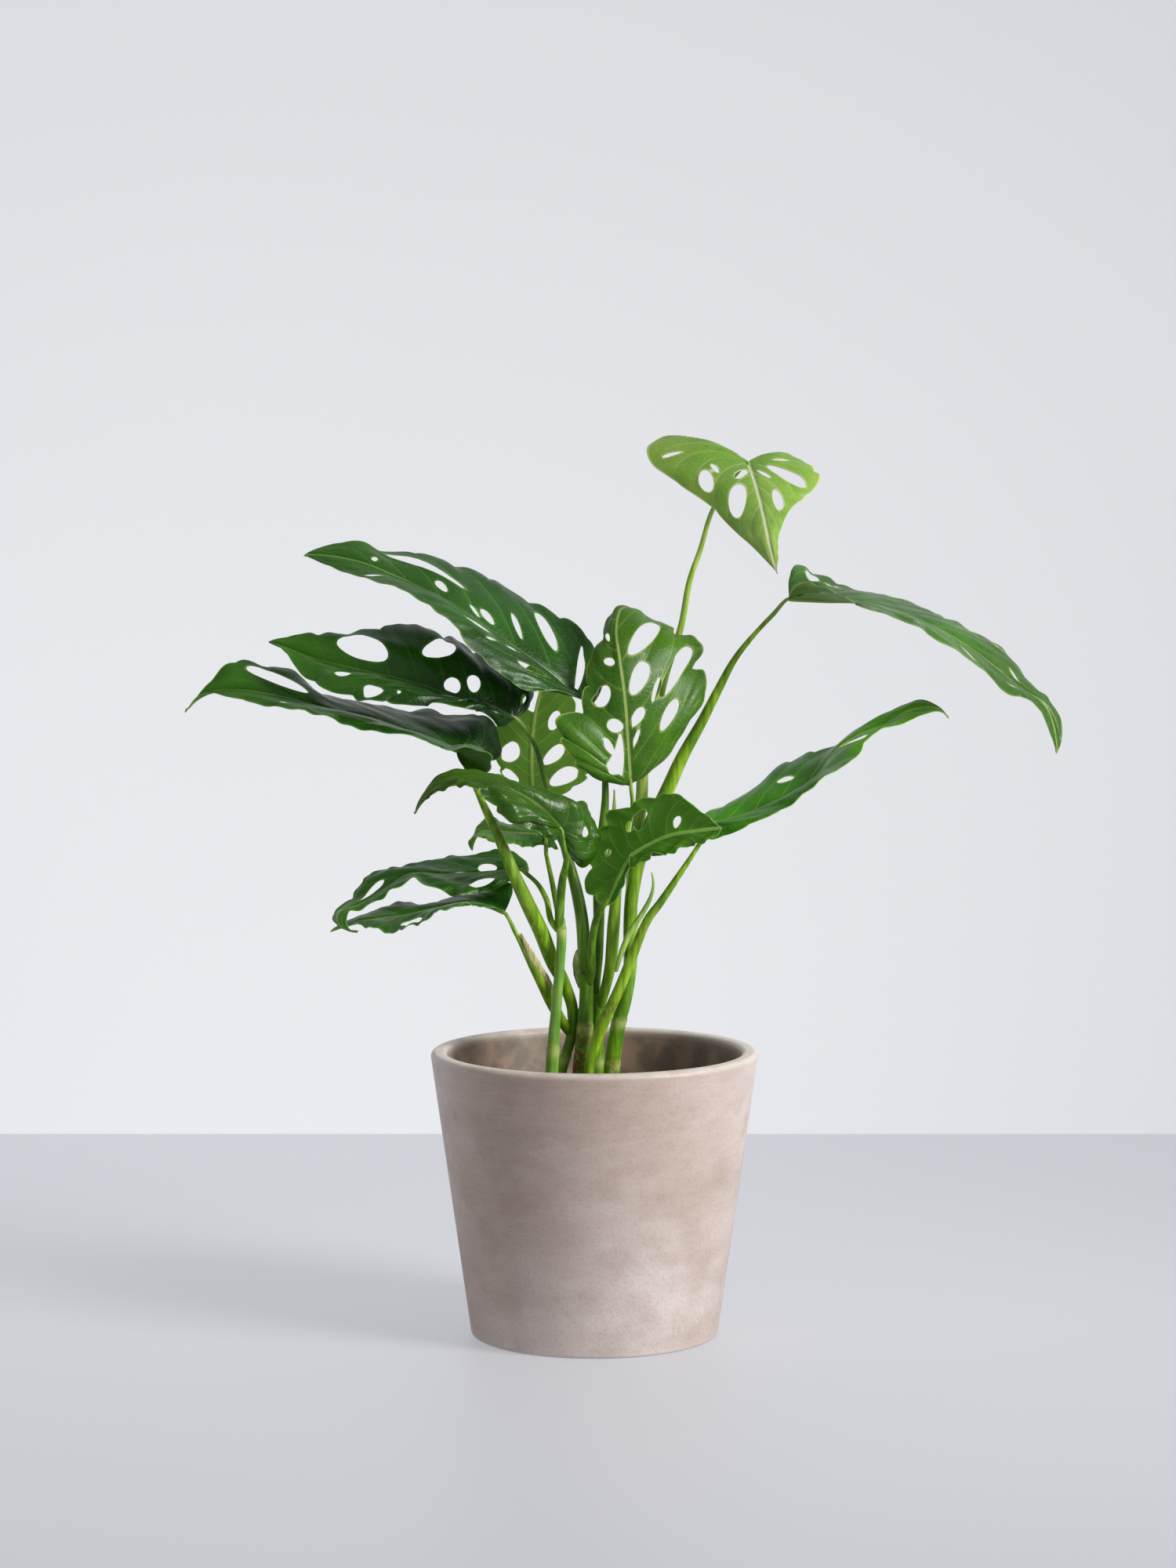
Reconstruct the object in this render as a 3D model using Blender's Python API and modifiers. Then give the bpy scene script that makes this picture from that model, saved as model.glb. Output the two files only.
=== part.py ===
"""A Swiss-cheese plant (Monstera adansonii) growing in a tapered planter.

The planter is an open cone with a closed floor. Potting soil fills it to SOIL_DEPTH below the rim, and six
stems are rooted in bores through the soil. Leaf stalks rise from the tops of the stems, and each carries one
blade with the slits of its species. The origin is the middle of the planter's underside, +Z is up and -Y is
the front.

Lengths in the tables of this file are in millimetres, and MM turns them into metres.
"""

import math
from dataclasses import dataclass

import bmesh
import bpy
import numpy as np
from mathutils.geometry import delaunay_2d_cdt

MM = 0.001
GAP = 0.3  # between touching pieces

# Planter
HEIGHT = 175.0
RIM_RADIUS = 100.0
BASE_RADIUS = 76.1
WALL = 9.7
FLOOR = 10.0
RIM_ROUND = 3.0
BASE_ROUND = 2.0
TURN_STEPS = 48

# Soil and roots
SOIL_DEPTH = 35.0
SOIL_CROWN = 2.0
ROOT_DEPTH = 28.0
BORE_SLACK = 0.8
BORE_SIDES = 12

# Leaves
BLADE_THICKNESS = 0.6
MARGIN_STEPS = 17
HOLE_POINTS = 8
SMALLEST_HOLE = 3.0
MIDRIB_STRIP = 0.05
EDGE_STRIP = 0.92

# Stems and stalks
STALK_STEP = 11.0
STALK_BEVEL_RESOLUTION = 2

SOIL_TOP = HEIGHT - SOIL_DEPTH


@dataclass(frozen=True)
class Blade:
    """One leaf blade. Left and right are as seen on the upper face with the tip away from the viewer.

    The midrib runs from the stalk to the tip. Each margin also runs from the stalk to the tip, round its
    basal lobe, and leaves out those two ends. A hole is an ellipse between two points of its half of the
    blade, and its last number is its width. Such a point is a fraction of the margin's length and a fraction
    of the way from the midrib to the margin. The veins of the first `fan` of the margin all start at the
    stalk. `cup` is the rise of the left and the right half between midrib and margin, over its width.
    """

    midrib: tuple
    left: tuple
    right: tuple
    left_holes: tuple = ()
    right_holes: tuple = ()
    fan: float = 0.22
    cup: tuple = (0.08, 0.08)


BLADES = {
    "crown": Blade(
        midrib=(
            (93, 8, 533), (96, -10, 523), (100, -36, 505), (103, -60, 487), (107, -80, 469),
        ),
        left=(
            (103, 18, 536), (118, 24, 538), (131, 18, 532), (136, 6, 524), (131, -8, 515),
            (119, -24, 507), (111, -44, 495), (108, -64, 482),
        ),
        right=(
            (86, 18, 537), (73, 26, 540), (58, 32, 543), (45, 36, 549), (33, 32, 545), (33, 20, 535),
            (46, 4, 523), (67, -14, 509), (82, -36, 494), (96, -60, 481),
        ),
        left_holes=(
            (0.48, 0.10, 0.51, 0.32, 2), (0.43, 0.27, 0.47, 0.87, 7), (0.57, 0.48, 0.67, 0.70, 5),
            (0.30, 0.35, 0.28, 0.69, 2),
        ),
        right_holes=(
            (0.39, 0.86, 0.37, 0.64, 2), (0.49, 0.57, 0.59, 0.76, 6), (0.46, 0.43, 0.51, 0.43, 2),
            (0.44, 0.32, 0.46, 0.28, 1), (0.49, 0.04, 0.55, 0.26, 4), (0.58, 0.25, 0.73, 0.65, 8),
        ),
        fan=0.42,
    ),
    "arching": Blade(
        midrib=(
            (118, 0, 451), (139, 0, 450), (162, 0, 449), (186, 0, 442), (210, 0, 432), (240, 0, 412),
            (258, 0, 397), (273, 0, 387), (279, 0, 374), (281, -2, 357),
        ),
        left=(
            (119, 14, 464), (123, 26, 471), (139, 38, 465), (155, 44, 456), (173, 46, 452),
            (201, 45, 443), (230, 40, 431), (248, 32, 420), (264, 22, 403), (277, 10, 389),
            (284, 4, 374),
        ),
        right=(
            (120, -12, 458), (127, -24, 462), (137, -34, 459), (150, -40, 453), (164, -42, 447),
            (184, -42, 439), (207, -40, 427), (231, -32, 410), (251, -20, 394), (265, -12, 389),
            (275, -6, 372),
        ),
        left_holes=(
            (0.18, 0.70, 0.22, 0.80, 5), (0.25, 0.70, 0.29, 0.74, 3), (0.68, 0.70, 0.72, 0.90, 2),
            (0.76, 0.45, 0.81, 0.22, 2),
        ),
        right_holes=(
            (0.76, 0.67, 0.80, 0.58, 1), (0.23, 0.59, 0.24, 0.70, 1),
        ),
        cup=(0.05, 0.05),
    ),
    "twisted": Blade(
        midrib=(
            (70, -14, 315), (95, -10, 322), (115, -8, 331), (132, -4, 341), (147, 4, 359),
            (160, 8, 367), (175, 10, 373), (194, 10, 383), (209, 8, 384), (216, 4, 378),
        ),
        left=(
            (67, -2, 320), (83, 10, 325), (96, 18, 333), (107, 22, 341), (116, 24, 348),
            (131, 26, 355), (147, 24, 360), (162, 22, 369), (177, 20, 379), (188, 18, 385),
            (198, 16, 389), (209, 10, 385),
        ),
        right=(
            (69, -24, 307), (81, -28, 310), (98, -32, 318), (115, -34, 327), (130, -34, 338),
            (144, -30, 347), (157, -22, 357), (166, -10, 366), (174, -4, 371), (186, -2, 375),
            (201, 0, 381), (210, 2, 382),
        ),
        left_holes=(
            (0.42, 0.44, 0.48, 0.34, 4),
        ),
        right_holes=(
            (0.67, 0.00, 0.72, 0.81, 5),
        ),
        cup=(0.06, 0.05),
    ),
    "upright": Blade(
        midrib=(
            (22, -8, 338), (20, -14, 368), (18, -16, 394), (15, -12, 415), (13, -2, 432),
            (16, 12, 444), (26, 28, 441),
        ),
        left=(
            (14, -8, 342), (5, -12, 346), (-7, -18, 347), (-17, -22, 360), (-24, -22, 378),
            (-9, -14, 390), (-5, -6, 410), (3, 0, 426), (8, 10, 438), (15, 20, 446),
        ),
        right=(
            (27, -4, 347), (37, 0, 358), (49, 4, 368), (62, 8, 380), (67, 10, 396), (68, 14, 411),
            (62, 18, 425), (49, 22, 433), (37, 26, 435), (31, 30, 440),
        ),
        left_holes=(
            (0.74, 0.23, 0.71, 0.62, 4), (0.78, 0.51, 0.79, 0.71, 2), (0.58, 0.09, 0.54, 0.46, 6),
            (0.47, 0.27, 0.48, 0.49, 4), (0.44, 0.12, 0.40, 0.35, 3), (0.62, 0.38, 0.58, 0.76, 11),
        ),
        right_holes=(
            (0.77, 0.12, 0.84, 0.71, 9), (0.67, 0.07, 0.73, 0.29, 8), (0.62, 0.37, 0.70, 0.86, 8),
            (0.62, 0.28, 0.67, 0.40, 3), (0.52, 0.36, 0.57, 0.58, 6), (0.59, 0.04, 0.62, 0.18, 5),
            (0.53, 0.04, 0.57, 0.12, 2), (0.48, 0.27, 0.48, 0.34, 1),
        ),
        fan=0.42,
    ),
    "long": Blade(
        midrib=(
            (-1, 4, 387), (-11, 2, 393), (-28, -2, 407), (-56, -2, 427), (-85, 0, 447), (-113, 4, 461),
            (-147, 8, 474), (-177, 12, 477),
        ),
        left=(
            (-8, -8, 390), (-22, -16, 396), (-42, -26, 397), (-58, -32, 408), (-74, -34, 422),
            (-88, -32, 440), (-105, -28, 451), (-124, -20, 460), (-141, -10, 464), (-157, 0, 469),
        ),
        right=(
            (5, 12, 400), (2, 20, 416), (-8, 28, 430), (-28, 34, 443), (-57, 38, 458), (-86, 36, 471),
            (-112, 30, 479), (-130, 26, 478), (-145, 20, 485), (-163, 16, 483),
        ),
        left_holes=(
            (0.84, 0.04, 0.82, 0.01, 1), (0.81, 0.87, 0.77, 0.56, 2), (0.55, 0.62, 0.50, 0.46, 4),
            (0.47, 0.66, 0.47, 0.48, 2), (0.46, 0.38, 0.45, 0.22, 2), (0.39, 0.53, 0.34, 0.30, 4),
        ),
        right_holes=(
            (0.84, 0.22, 0.84, 0.36, 3), (0.79, 0.80, 0.61, 0.43, 6), (0.69, 0.30, 0.67, 0.17, 4),
            (0.69, 0.00, 0.68, 0.00, 2), (0.61, 0.18, 0.59, 0.07, 2), (0.58, 0.21, 0.55, 0.10, 4),
            (0.48, 0.46, 0.47, 0.16, 3), (0.38, 0.81, 0.36, 0.33, 7), (0.24, 0.71, 0.31, 0.01, 4),
        ),
        fan=0.25, cup=(0.07, 0.07),
    ),
    "pierced": Blade(
        midrib=(
            (-49, 0, 379), (-75, -2, 387), (-104, -2, 398), (-132, 0, 405), (-166, 2, 413),
            (-198, 4, 425),
        ),
        left=(
            (-57, -6, 374), (-66, -14, 382), (-84, -22, 387), (-103, -26, 388), (-131, -28, 390),
            (-157, -24, 395), (-173, -18, 402), (-185, -8, 416),
        ),
        right=(
            (-42, 8, 382), (-37, 16, 391), (-43, 24, 403), (-57, 30, 410), (-76, 34, 419),
            (-96, 34, 430), (-115, 30, 434), (-134, 26, 433), (-157, 18, 429), (-178, 10, 429),
        ),
        left_holes=(
            (0.74, 0.64, 0.72, 0.45, 4), (0.61, 0.83, 0.57, 0.70, 8), (0.52, 0.74, 0.52, 0.69, 2),
        ),
        right_holes=(
            (0.80, 0.71, 0.67, 0.32, 14), (0.57, 0.40, 0.46, 0.77, 10), (0.51, 0.18, 0.48, 0.08, 7),
            (0.42, 0.37, 0.43, 0.14, 6), (0.15, 0.30, 0.16, 0.56, 2),
        ),
        fan=0.3, cup=(0.12, 0.12),
    ),
    "trailing": Blade(
        midrib=(
            (-84, 0, 359), (-104, -4, 367), (-132, -6, 378), (-161, -4, 384), (-180, -2, 389),
            (-199, 0, 393), (-218, 2, 395), (-236, 2, 393), (-249, 0, 382),
        ),
        left=(
            (-78, -10, 349), (-65, -18, 347), (-60, -24, 356), (-72, -28, 363), (-89, -30, 361),
            (-112, -30, 370), (-136, -30, 374), (-169, -26, 382), (-195, -18, 387), (-222, -8, 392),
            (-236, -2, 393),
        ),
        right=(
            (-73, 10, 354), (-60, 20, 352), (-57, 28, 364), (-66, 32, 377), (-79, 34, 379),
            (-96, 34, 380), (-125, 32, 382), (-153, 30, 388), (-170, 28, 391), (-180, 24, 402),
            (-193, 20, 408), (-210, 16, 412), (-224, 8, 411), (-235, 4, 399),
        ),
        left_holes=(
            (0.74, 0.74, 0.72, 0.70, 2), (0.55, 0.07, 0.51, 0.07, 1),
        ),
        right_holes=(
            (0.82, 0.73, 0.69, 0.31, 7), (0.37, 0.44, 0.36, 0.39, 1),
        ),
        fan=0.3, cup=(0.08, 0.06),
    ),
    "back": Blade(
        midrib=(
            (-38, 40, 330), (-39, 46, 354), (-37, 50, 375), (-32, 54, 397), (-26, 56, 412),
        ),
        left=(
            (-28, 40, 326), (-11, 42, 333), (-1, 44, 343), (-5, 46, 359), (-11, 50, 375),
            (-12, 54, 392), (-17, 56, 404),
        ),
        right=(
            (-47, 40, 333), (-56, 42, 338), (-61, 44, 351), (-61, 48, 368), (-58, 52, 386),
            (-50, 54, 399), (-37, 56, 409),
        ),
        left_holes=(
            (0.27, 0.36, 0.36, 0.77, 7), (0.40, 0.19, 0.50, 0.58, 6), (0.59, 0.38, 0.69, 0.56, 5),
        ),
        right_holes=(
            (0.38, 0.38, 0.39, 0.77, 10), (0.23, 0.42, 0.24, 0.91, 4), (0.68, 0.17, 0.81, 0.00, 10),
        ),
        cup=(-0.05, -0.05),
    ),
    "front": Blade(
        midrib=(
            (22, -30, 297), (33, -36, 305), (45, -43, 311), (59, -50, 314), (76, -58, 317),
        ),
        left=(
            (21, -34, 291), (30, -40, 295), (37, -44, 301), (44, -47, 299), (57, -52, 306),
            (67, -56, 308),
        ),
        right=(
            (18, -24, 281), (9, -18, 266), (-4, -12, 268), (-6, -10, 283), (-1, -12, 307),
            (8, -18, 323), (23, -26, 330), (39, -36, 336), (55, -46, 333), (67, -54, 324),
        ),
        right_holes=(
            (0.51, 0.53, 0.57, 0.62, 4), (0.71, 0.14, 0.77, 0.41, 4), (0.39, 0.67, 0.42, 0.69, 3),
            (0.54, 0.46, 0.66, 0.70, 7),
        ),
        fan=0.3, cup=(0.08, 0.1),
    ),
    "crumpled": Blade(
        midrib=(
            (-20, -38, 314), (-30, -44, 326), (-44, -48, 336), (-60, -50, 342), (-79, -50, 343),
            (-95, -48, 339), (-108, -44, 324),
        ),
        left=(
            (-27, -46, 310), (-37, -54, 315), (-51, -60, 322), (-62, -62, 330), (-71, -62, 340),
            (-83, -58, 342), (-97, -50, 336),
        ),
        right=(
            (-16, -32, 298), (-8, -26, 290), (1, -22, 296), (2, -22, 316), (-6, -26, 329),
            (-20, -30, 332), (-37, -34, 337), (-56, -38, 346), (-74, -38, 350), (-92, -38, 346),
            (-103, -40, 334),
        ),
        right_holes=(
            (0.26, 0.41, 0.31, 0.58, 4),
        ),
        fan=0.3, cup=(0.15, 0.18),
    ),
    "hooked": Blade(
        midrib=(
            (-46, 0, 286), (-66, 0, 284), (-90, 0, 283), (-112, 2, 283), (-128, 0, 274),
            (-145, -4, 264), (-156, -10, 261), (-156, -16, 256), (-151, -18, 251), (-143, -18, 250),
        ),
        left=(
            (-50, -8, 281), (-62, -18, 275), (-76, -24, 273), (-89, -24, 272), (-101, -20, 278),
            (-111, -14, 282), (-121, -12, 275), (-130, -12, 269), (-141, -12, 264), (-148, -14, 262),
            (-150, -18, 256), (-148, -18, 251),
        ),
        right=(
            (-40, 6, 284), (-41, 12, 289), (-50, 18, 294), (-67, 22, 294), (-86, 24, 293),
            (-103, 24, 288), (-117, 22, 285), (-134, 20, 284), (-143, 16, 278), (-148, 10, 266),
            (-158, 2, 261), (-160, -6, 256), (-154, -14, 252),
        ),
        left_holes=(
            (0.33, 0.71, 0.26, 0.47, 5),
        ),
        right_holes=(
            (0.36, 0.18, 0.30, 0.10, 6), (0.47, 0.00, 0.41, 0.00, 3), (0.55, 0.24, 0.52, 0.29, 1),
            (0.78, 0.29, 0.67, 0.32, 4),
        ),
        cup=(0.06, 0.06),
    ),
    "slender": Blade(
        midrib=(
            (-55, -20, 262), (-75, -18, 268), (-94, -16, 265), (-113, -14, 260), (-133, -12, 257),
            (-147, -10, 254), (-161, -6, 249),
        ),
        left=(
            (-63, -30, 266), (-77, -38, 269), (-91, -42, 266), (-103, -44, 260), (-117, -42, 253),
            (-129, -36, 252), (-140, -26, 255), (-149, -16, 254),
        ),
        right=(
            (-51, -12, 269), (-51, -4, 277), (-61, 2, 278), (-81, 6, 269), (-100, 8, 264),
            (-119, 8, 264), (-136, 6, 260), (-148, 2, 255),
        ),
        left_holes=(
            (0.60, 0.70, 0.48, 0.80, 7),
        ),
        cup=(0.05, 0.05),
    ),
    "small": Blade(
        midrib=(
            (-32, 30, 305), (-45, 32, 305), (-60, 34, 306), (-71, 35, 305), (-76, 36, 294),
        ),
        left=(
            (-22, 26, 296), (-33, 20, 298), (-50, 18, 299), (-63, 20, 301), (-73, 26, 303),
            (-78, 32, 300),
        ),
        right=(
            (-24, 36, 300), (-22, 42, 306), (-33, 46, 310), (-53, 48, 310), (-66, 46, 313),
            (-73, 42, 308),
        ),
        cup=(0.05, 0.05),
    ),}

# Stems rooted in the soil: each route from the soil surface upwards, and radii spread evenly along it
ROOTED = {
    "cane_front": (
        ((-27, -16, 146), (-26, -17, 164), (-25, -18, 182), (-23, -18, 206), (-21, -18, 230),
         (-20, -18, 248), (-21, -18, 257)),
        (4.0, 4.0, 3.9, 3.3, 3.0, 2.9, 2.9),
    ),
    "cane_left": (
        ((-22, -2, 146), (-20.5, -1, 161), (-17.5, 0, 172), (-14, 2, 184), (-13, 3, 193), (-13, 3, 199)),
        (3.4, 3.4, 3.4, 3.3, 3.2),
    ),
    "cane_centre": (
        ((-8.5, -6, 146), (-8, -6, 161), (-6.5, -5, 180), (-5.5, -4, 196), (-5, -3, 212), (-5, -2, 220)),
        (5.6, 5.6, 5.5, 5.0, 4.1, 3.8),
    ),
    "cane_middle": (
        ((2, 4, 146), (2, 4, 160), (2, 3, 179), (2.5, 3, 198), (2.5, 3, 208)),
        (3.8, 3.8, 3.6, 3.4),
    ),
    "cane_right": (
        ((10, 10, 146), (10.5, 8.5, 160), (12.5, 6.5, 178), (15, 5, 192), (18.5, 5, 205), (21.5, 7, 222),
         (22, 9, 235)),
        (4.9, 4.9, 4.8, 4.7, 4.2, 3.8, 3.6),
    ),
    "twisted_stalk": (
        ((-4, -17, 146), (-3.5, -17, 162), (-2, -17, 172), (1, -17, 183), (7, -18, 198), (14.5, -19, 214),
         (22.5, -20, 234), (32.5, -20, 258), (39.5, -20, 267.5), (48, -19, 280), (57.5, -17, 294),
         (65, -15, 305), (68, -14, 310)),
        (3.2, 3.2, 3.2, 3.3, 3.2, 3.0, 2.7, 2.4, 1.4),
    ),
}

# Leaf stalks and sheaths above the stems: each route upwards, and radii spread evenly along it
STALKS = {
    "crown_stalk": (
        ((23.5, 12.2, 236.6), (23, 15, 264), (25, 20, 298), (29, 24, 326), (30.5, 27, 355), (37, 29, 377),
         (44, 30, 404), (53, 31, 432), (58.5, 32, 461), (65, 32, 480), (71.5, 31, 502), (79.5, 28, 517),
         (87, 20, 527), (91, 13, 531)),
        (3.4, 3.6, 3.6, 3.4, 2.9, 2.3, 2.0, 1.8, 1.2),
    ),
    "arching_stalk": (
        ((21.3, 4.2, 236.8), (22, 4, 261), (26, 8, 287), (33.5, 12, 310), (44, 15, 332), (53.5, 16, 353),
         (65.5, 15, 375), (75, 12, 394), (85.5, 8, 414), (97, 4, 429), (108, 1, 441), (115.5, 0, 448.5)),
        (3.8, 4.4, 4.7, 4.5, 4.0, 3.3, 2.7, 1.4),
    ),
    "upright_stalk": (
        ((5.8, -0.8, 209.4), (9.5, -4.5, 226), (12, -7, 257), (14.5, -8, 284), (19.5, -8, 310),
         (23, -8, 326),
         (22, -8, 335)),
        (3.0, 3.6, 3.7, 3.2, 2.6, 1.4),
    ),
    "long_stalk": (
        ((0.6, 5, 209.2), (2.2, 4.4, 236), (3, 6, 280), (5, 8, 308), (6.5, 9, 332), (5, 9, 356), (2, 7, 373),
         (0, 5.5, 383)),
        (3.2, 3.2, 3.8, 4.0, 3.4, 2.4, 1.3),
    ),
    "pierced_stalk": (
        ((-6.2, 1.6, 221.6), (-7.5, 5, 253), (-11, 7, 272), (-15, 9, 287), (-21, 12, 308), (-26.5, 12, 326),
         (-31, 10, 342), (-35.5, 8, 359), (-41, 5, 369), (-46.5, 2, 376)),
        (3.7, 4.0, 3.9, 3.4, 2.7, 2.3, 2.0, 1.3),
    ),
    "trailing_stalk": (
        ((-13.4, 2.2, 200.9), (-18.6, -2.6, 217), (-25, -8, 230), (-32.5, -16, 250), (-41, -23, 269),
         (-49, -27, 287),
         (-55, -28, 302), (-61.5, -25, 316), (-68.5, -18, 330), (-77, -2, 346), (-82.5, 3, 356)),
        (3.4, 4.2, 4.5, 4.4, 4.0, 3.4, 2.8, 1.4),
    ),
    "back_stalk": (
        ((-7, 11.2, 236), (-10, 18, 266), (-14.5, 21, 285), (-22.5, 28, 304), (-31.5, 36, 320),
         (-37, 39, 327)),
        (2.2, 2.2, 2.0, 1.2),
    ),
    "front_stalk": (
        ((-2.4, -6.3, 221.4), (-1.5, -13, 243), (1.5, -20, 259), (8, -27, 272),
         (14.5, -31, 285.5), (19, -31.8, 292.5)),
        (2.6, 2.4, 2.3, 2.1, 1.2),
    ),
    "crumpled_stalk": (
        ((-21.2, -19.4, 258.6), (-19.5, -27, 281), (-17, -38, 297), (-18.5, -41, 305), (-20, -41, 309)),
        (2.8, 2.6, 2.3, 1.2),
    ),
    "small_stalk": (
        ((-21.8, -13.2, 258.6), (-26.5, 2, 281), (-29.5, 13, 293), (-31, 18, 296)),
        (1.8, 1.7, 1.5, 1.0),
    ),
    "hooked_stalk": (
        ((-26.6, -15.6, 257.2), (-29, -12, 268), (-34, -8, 277), (-40, -4, 282.5), (-44, -1.5, 285)),
        (1.9, 1.8, 1.7, 1.0),
    ),
    "slender_stalk": (
        ((-18.6, -1.4, 191), (-25.5, -7.4, 204), (-32.5, -13, 219), (-40.5, -18, 235), (-48.5, -20, 251),
         (-53, -20, 260)),
        (3.2, 3.4, 3.3, 2.8, 1.3),
    ),
    "new_leaf_spear": (
        ((17, -20, 239), (22, -20, 250.5), (29, -20, 261.5), (34, -20, 271.5), (35.5, -20, 279),
         (34.5, -20, 286)),
        (1.6, 1.8, 1.5, 1.1, 0.5),
    ),
    "slender_sheath": (
        ((-26, -13, 216), (-32, -18, 229), (-38.5, -23, 242), (-44, -25, 254)),
        (1.0, 1.5, 1.2, 0.4),
    ),
    "centre_sheath": (
        ((-11.5, -3, 223), (-12.5, -2, 231), (-13, 0, 237), (-12, 1, 241)),
        (0.9, 1.3, 1.2, 0.4),
    ),
    "long_sheath": (
        ((11, 6, 306), (12, 6, 320), (12, 6, 334)),
        (1.4, 1.2, 0.4),
    ),
}

BLADE_COLOURS = {
    "crown": (0.22, 0.38, 0.05),
    "back": (0.10, 0.22, 0.06),
    "upright": (0.13, 0.28, 0.03),
    "small": (0.12, 0.24, 0.07),
}
BLADE_GREEN = (0.04, 0.14, 0.02)
STALK_GREEN = (0.16, 0.30, 0.04)
CANE_GREEN = (0.11, 0.21, 0.03)
SHEATH_TAN = (0.42, 0.36, 0.18)
PLANTER_TAUPE = (0.42, 0.36, 0.33)
SOIL_BROWN = (0.035, 0.022, 0.014)


def clear_scene():
    """Empty the scene of the objects it opens with."""
    for obj in list(bpy.data.objects):
        bpy.data.objects.remove(obj)


def new_collection(name):
    """Add a collection of that name to the scene."""
    made = bpy.data.collections.new(name)
    bpy.context.scene.collection.children.link(made)
    return made


def principled(name, colour, roughness, subsurface=0.0):
    """A Principled BSDF material of one colour."""
    made = bpy.data.materials.new(name)
    made.use_nodes = True
    made.diffuse_color = (*colour, 1.0)
    shader = made.node_tree.nodes["Principled BSDF"]
    shader.inputs["Base Color"].default_value = (*colour, 1.0)
    shader.inputs["Roughness"].default_value = roughness
    shader.inputs["Metallic"].default_value = 0.0
    shader.inputs["Subsurface Weight"].default_value = subsurface
    return made


def add_object(name, data, collection, material=None):
    """Put a mesh or a curve in the collection as an object."""
    obj = bpy.data.objects.new(name, data)
    if material:
        data.materials.append(material)
    collection.objects.link(obj)
    return obj


def smooth_curve(points, count):
    """A cubic curve through the points, read at `count` places evenly spaced along it, and its length.

    Each point's slope is the mean of its two neighbouring chords, weighted by the other chord's length.
    """
    p = np.asarray(points, float)
    span = np.linalg.norm(np.diff(p, axis=0), axis=1) ** 0.75
    knots = np.concatenate([[0.0], np.cumsum(span)])
    chord = np.diff(p, axis=0) / span[:, None]
    slope = np.empty_like(p)
    before, after = span[:-1, None], span[1:, None]
    slope[1:-1] = (chord[:-1] * after + chord[1:] * before) / (before + after)
    slope[0] = 2 * chord[0] - slope[1]
    slope[-1] = 2 * chord[-1] - slope[-2]
    u = np.linspace(0.0, knots[-1], 600)
    i = np.clip(np.searchsorted(knots, u, side="right") - 1, 0, len(span) - 1)
    w = ((u - knots[i]) / span[i])[:, None]
    reach = span[i][:, None]
    fine = (
        (2 * w**3 - 3 * w**2 + 1) * p[i]
        + (w**3 - 2 * w**2 + w) * reach * slope[i]
        + (3 * w**2 - 2 * w**3) * p[i + 1]
        + (w**3 - w**2) * reach * slope[i + 1]
    )
    along = np.concatenate([[0.0], np.cumsum(np.linalg.norm(np.diff(fine, axis=0), axis=1))])
    even = np.linspace(0.0, along[-1], count)
    return np.stack([np.interp(even, along, fine[:, k]) for k in range(3)], axis=-1), along[-1]


def read_curve(curve, fraction):
    """Points of an evenly spaced curve at fractions of its length."""
    place = np.clip(fraction, 0.0, 1.0) * (len(curve) - 1)
    first = np.minimum(place.astype(int), len(curve) - 2)
    rest = (place - first)[..., None]
    return curve[first] * (1 - rest) + curve[first + 1] * rest


class BladeSurface:
    """A blade's middle surface, over t along a margin and s from its right edge (-1) to its left (1)."""

    def __init__(self, blade):
        ends = blade.midrib[0], blade.midrib[-1]
        self.blade = blade
        self.midrib = smooth_curve(blade.midrib, 201)[0]
        self.left = smooth_curve((ends[0], *blade.left, ends[1]), 201)[0]
        self.right = smooth_curve((ends[0], *blade.right, ends[1]), 201)[0]

    def vein_point(self, t, s):
        """A point on the straight line from the midrib to the margin."""
        inner = read_curve(self.midrib, np.clip((t - self.blade.fan) / (1 - self.blade.fan), 0, 1) ** 1.1)
        outer = np.where((s >= 0)[..., None], read_curve(self.left, t), read_curve(self.right, t))
        return inner + (outer - inner) * np.abs(s)[..., None]

    def point(self, t, s):
        """A point of the cupped surface: each half rises from the line of its vein as a parabola."""
        side = np.where(s >= 0, 1.0, -1.0)
        step = 0.01
        along = self.vein_point(np.clip(t + step, 0, 1), s) - self.vein_point(np.clip(t - step, 0, 1), s)
        across = (self.vein_point(t, side) - self.vein_point(t, side * 0.0)) * side[..., None]
        normal = np.cross(along, across)
        normal /= np.maximum(np.linalg.norm(normal, axis=-1, keepdims=True), 1e-9)
        width = np.linalg.norm(across, axis=-1)
        rise = np.where(s >= 0, *self.blade.cup) * width * 4 * np.abs(s) * (1 - np.abs(s))
        return self.vein_point(t, s) + normal * rise[..., None]

    def hole(self, side, start_t, start_s, end_t, end_s, width):
        """A hole's outline in (t, s), counterclockwise: an ellipse that is `width` wide on the blade."""
        centre = np.array([(start_t + end_t) / 2, (start_s + end_s) / 2])
        major = np.array([end_t - start_t, end_s - start_s]) / 2
        step = 0.01
        nearby = centre + step * np.array([(1, 0), (-1, 0), (0, 1), (0, -1)])
        around = self.point(nearby[:, 0], side * nearby[:, 1])
        jacobian = np.stack([around[0] - around[1], around[2] - around[3]], axis=1) / (2 * step)
        crosswise = np.cross(np.cross(jacobian[:, 0], jacobian[:, 1]), jacobian @ major)
        crosswise *= width / 2 / np.linalg.norm(crosswise)
        minor = np.linalg.pinv(jacobian) @ crosswise
        turn = np.linspace(0, 2 * math.pi, HOLE_POINTS, endpoint=False)[:, None]
        minor *= np.sign(side * (major[0] * minor[1] - major[1] * minor[0]))
        outline = centre + major * np.cos(turn) + minor * np.sin(turn)
        return np.stack([outline[:, 0], side * np.clip(outline[:, 1], MIDRIB_STRIP, EDGE_STRIP)], axis=-1)


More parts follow.
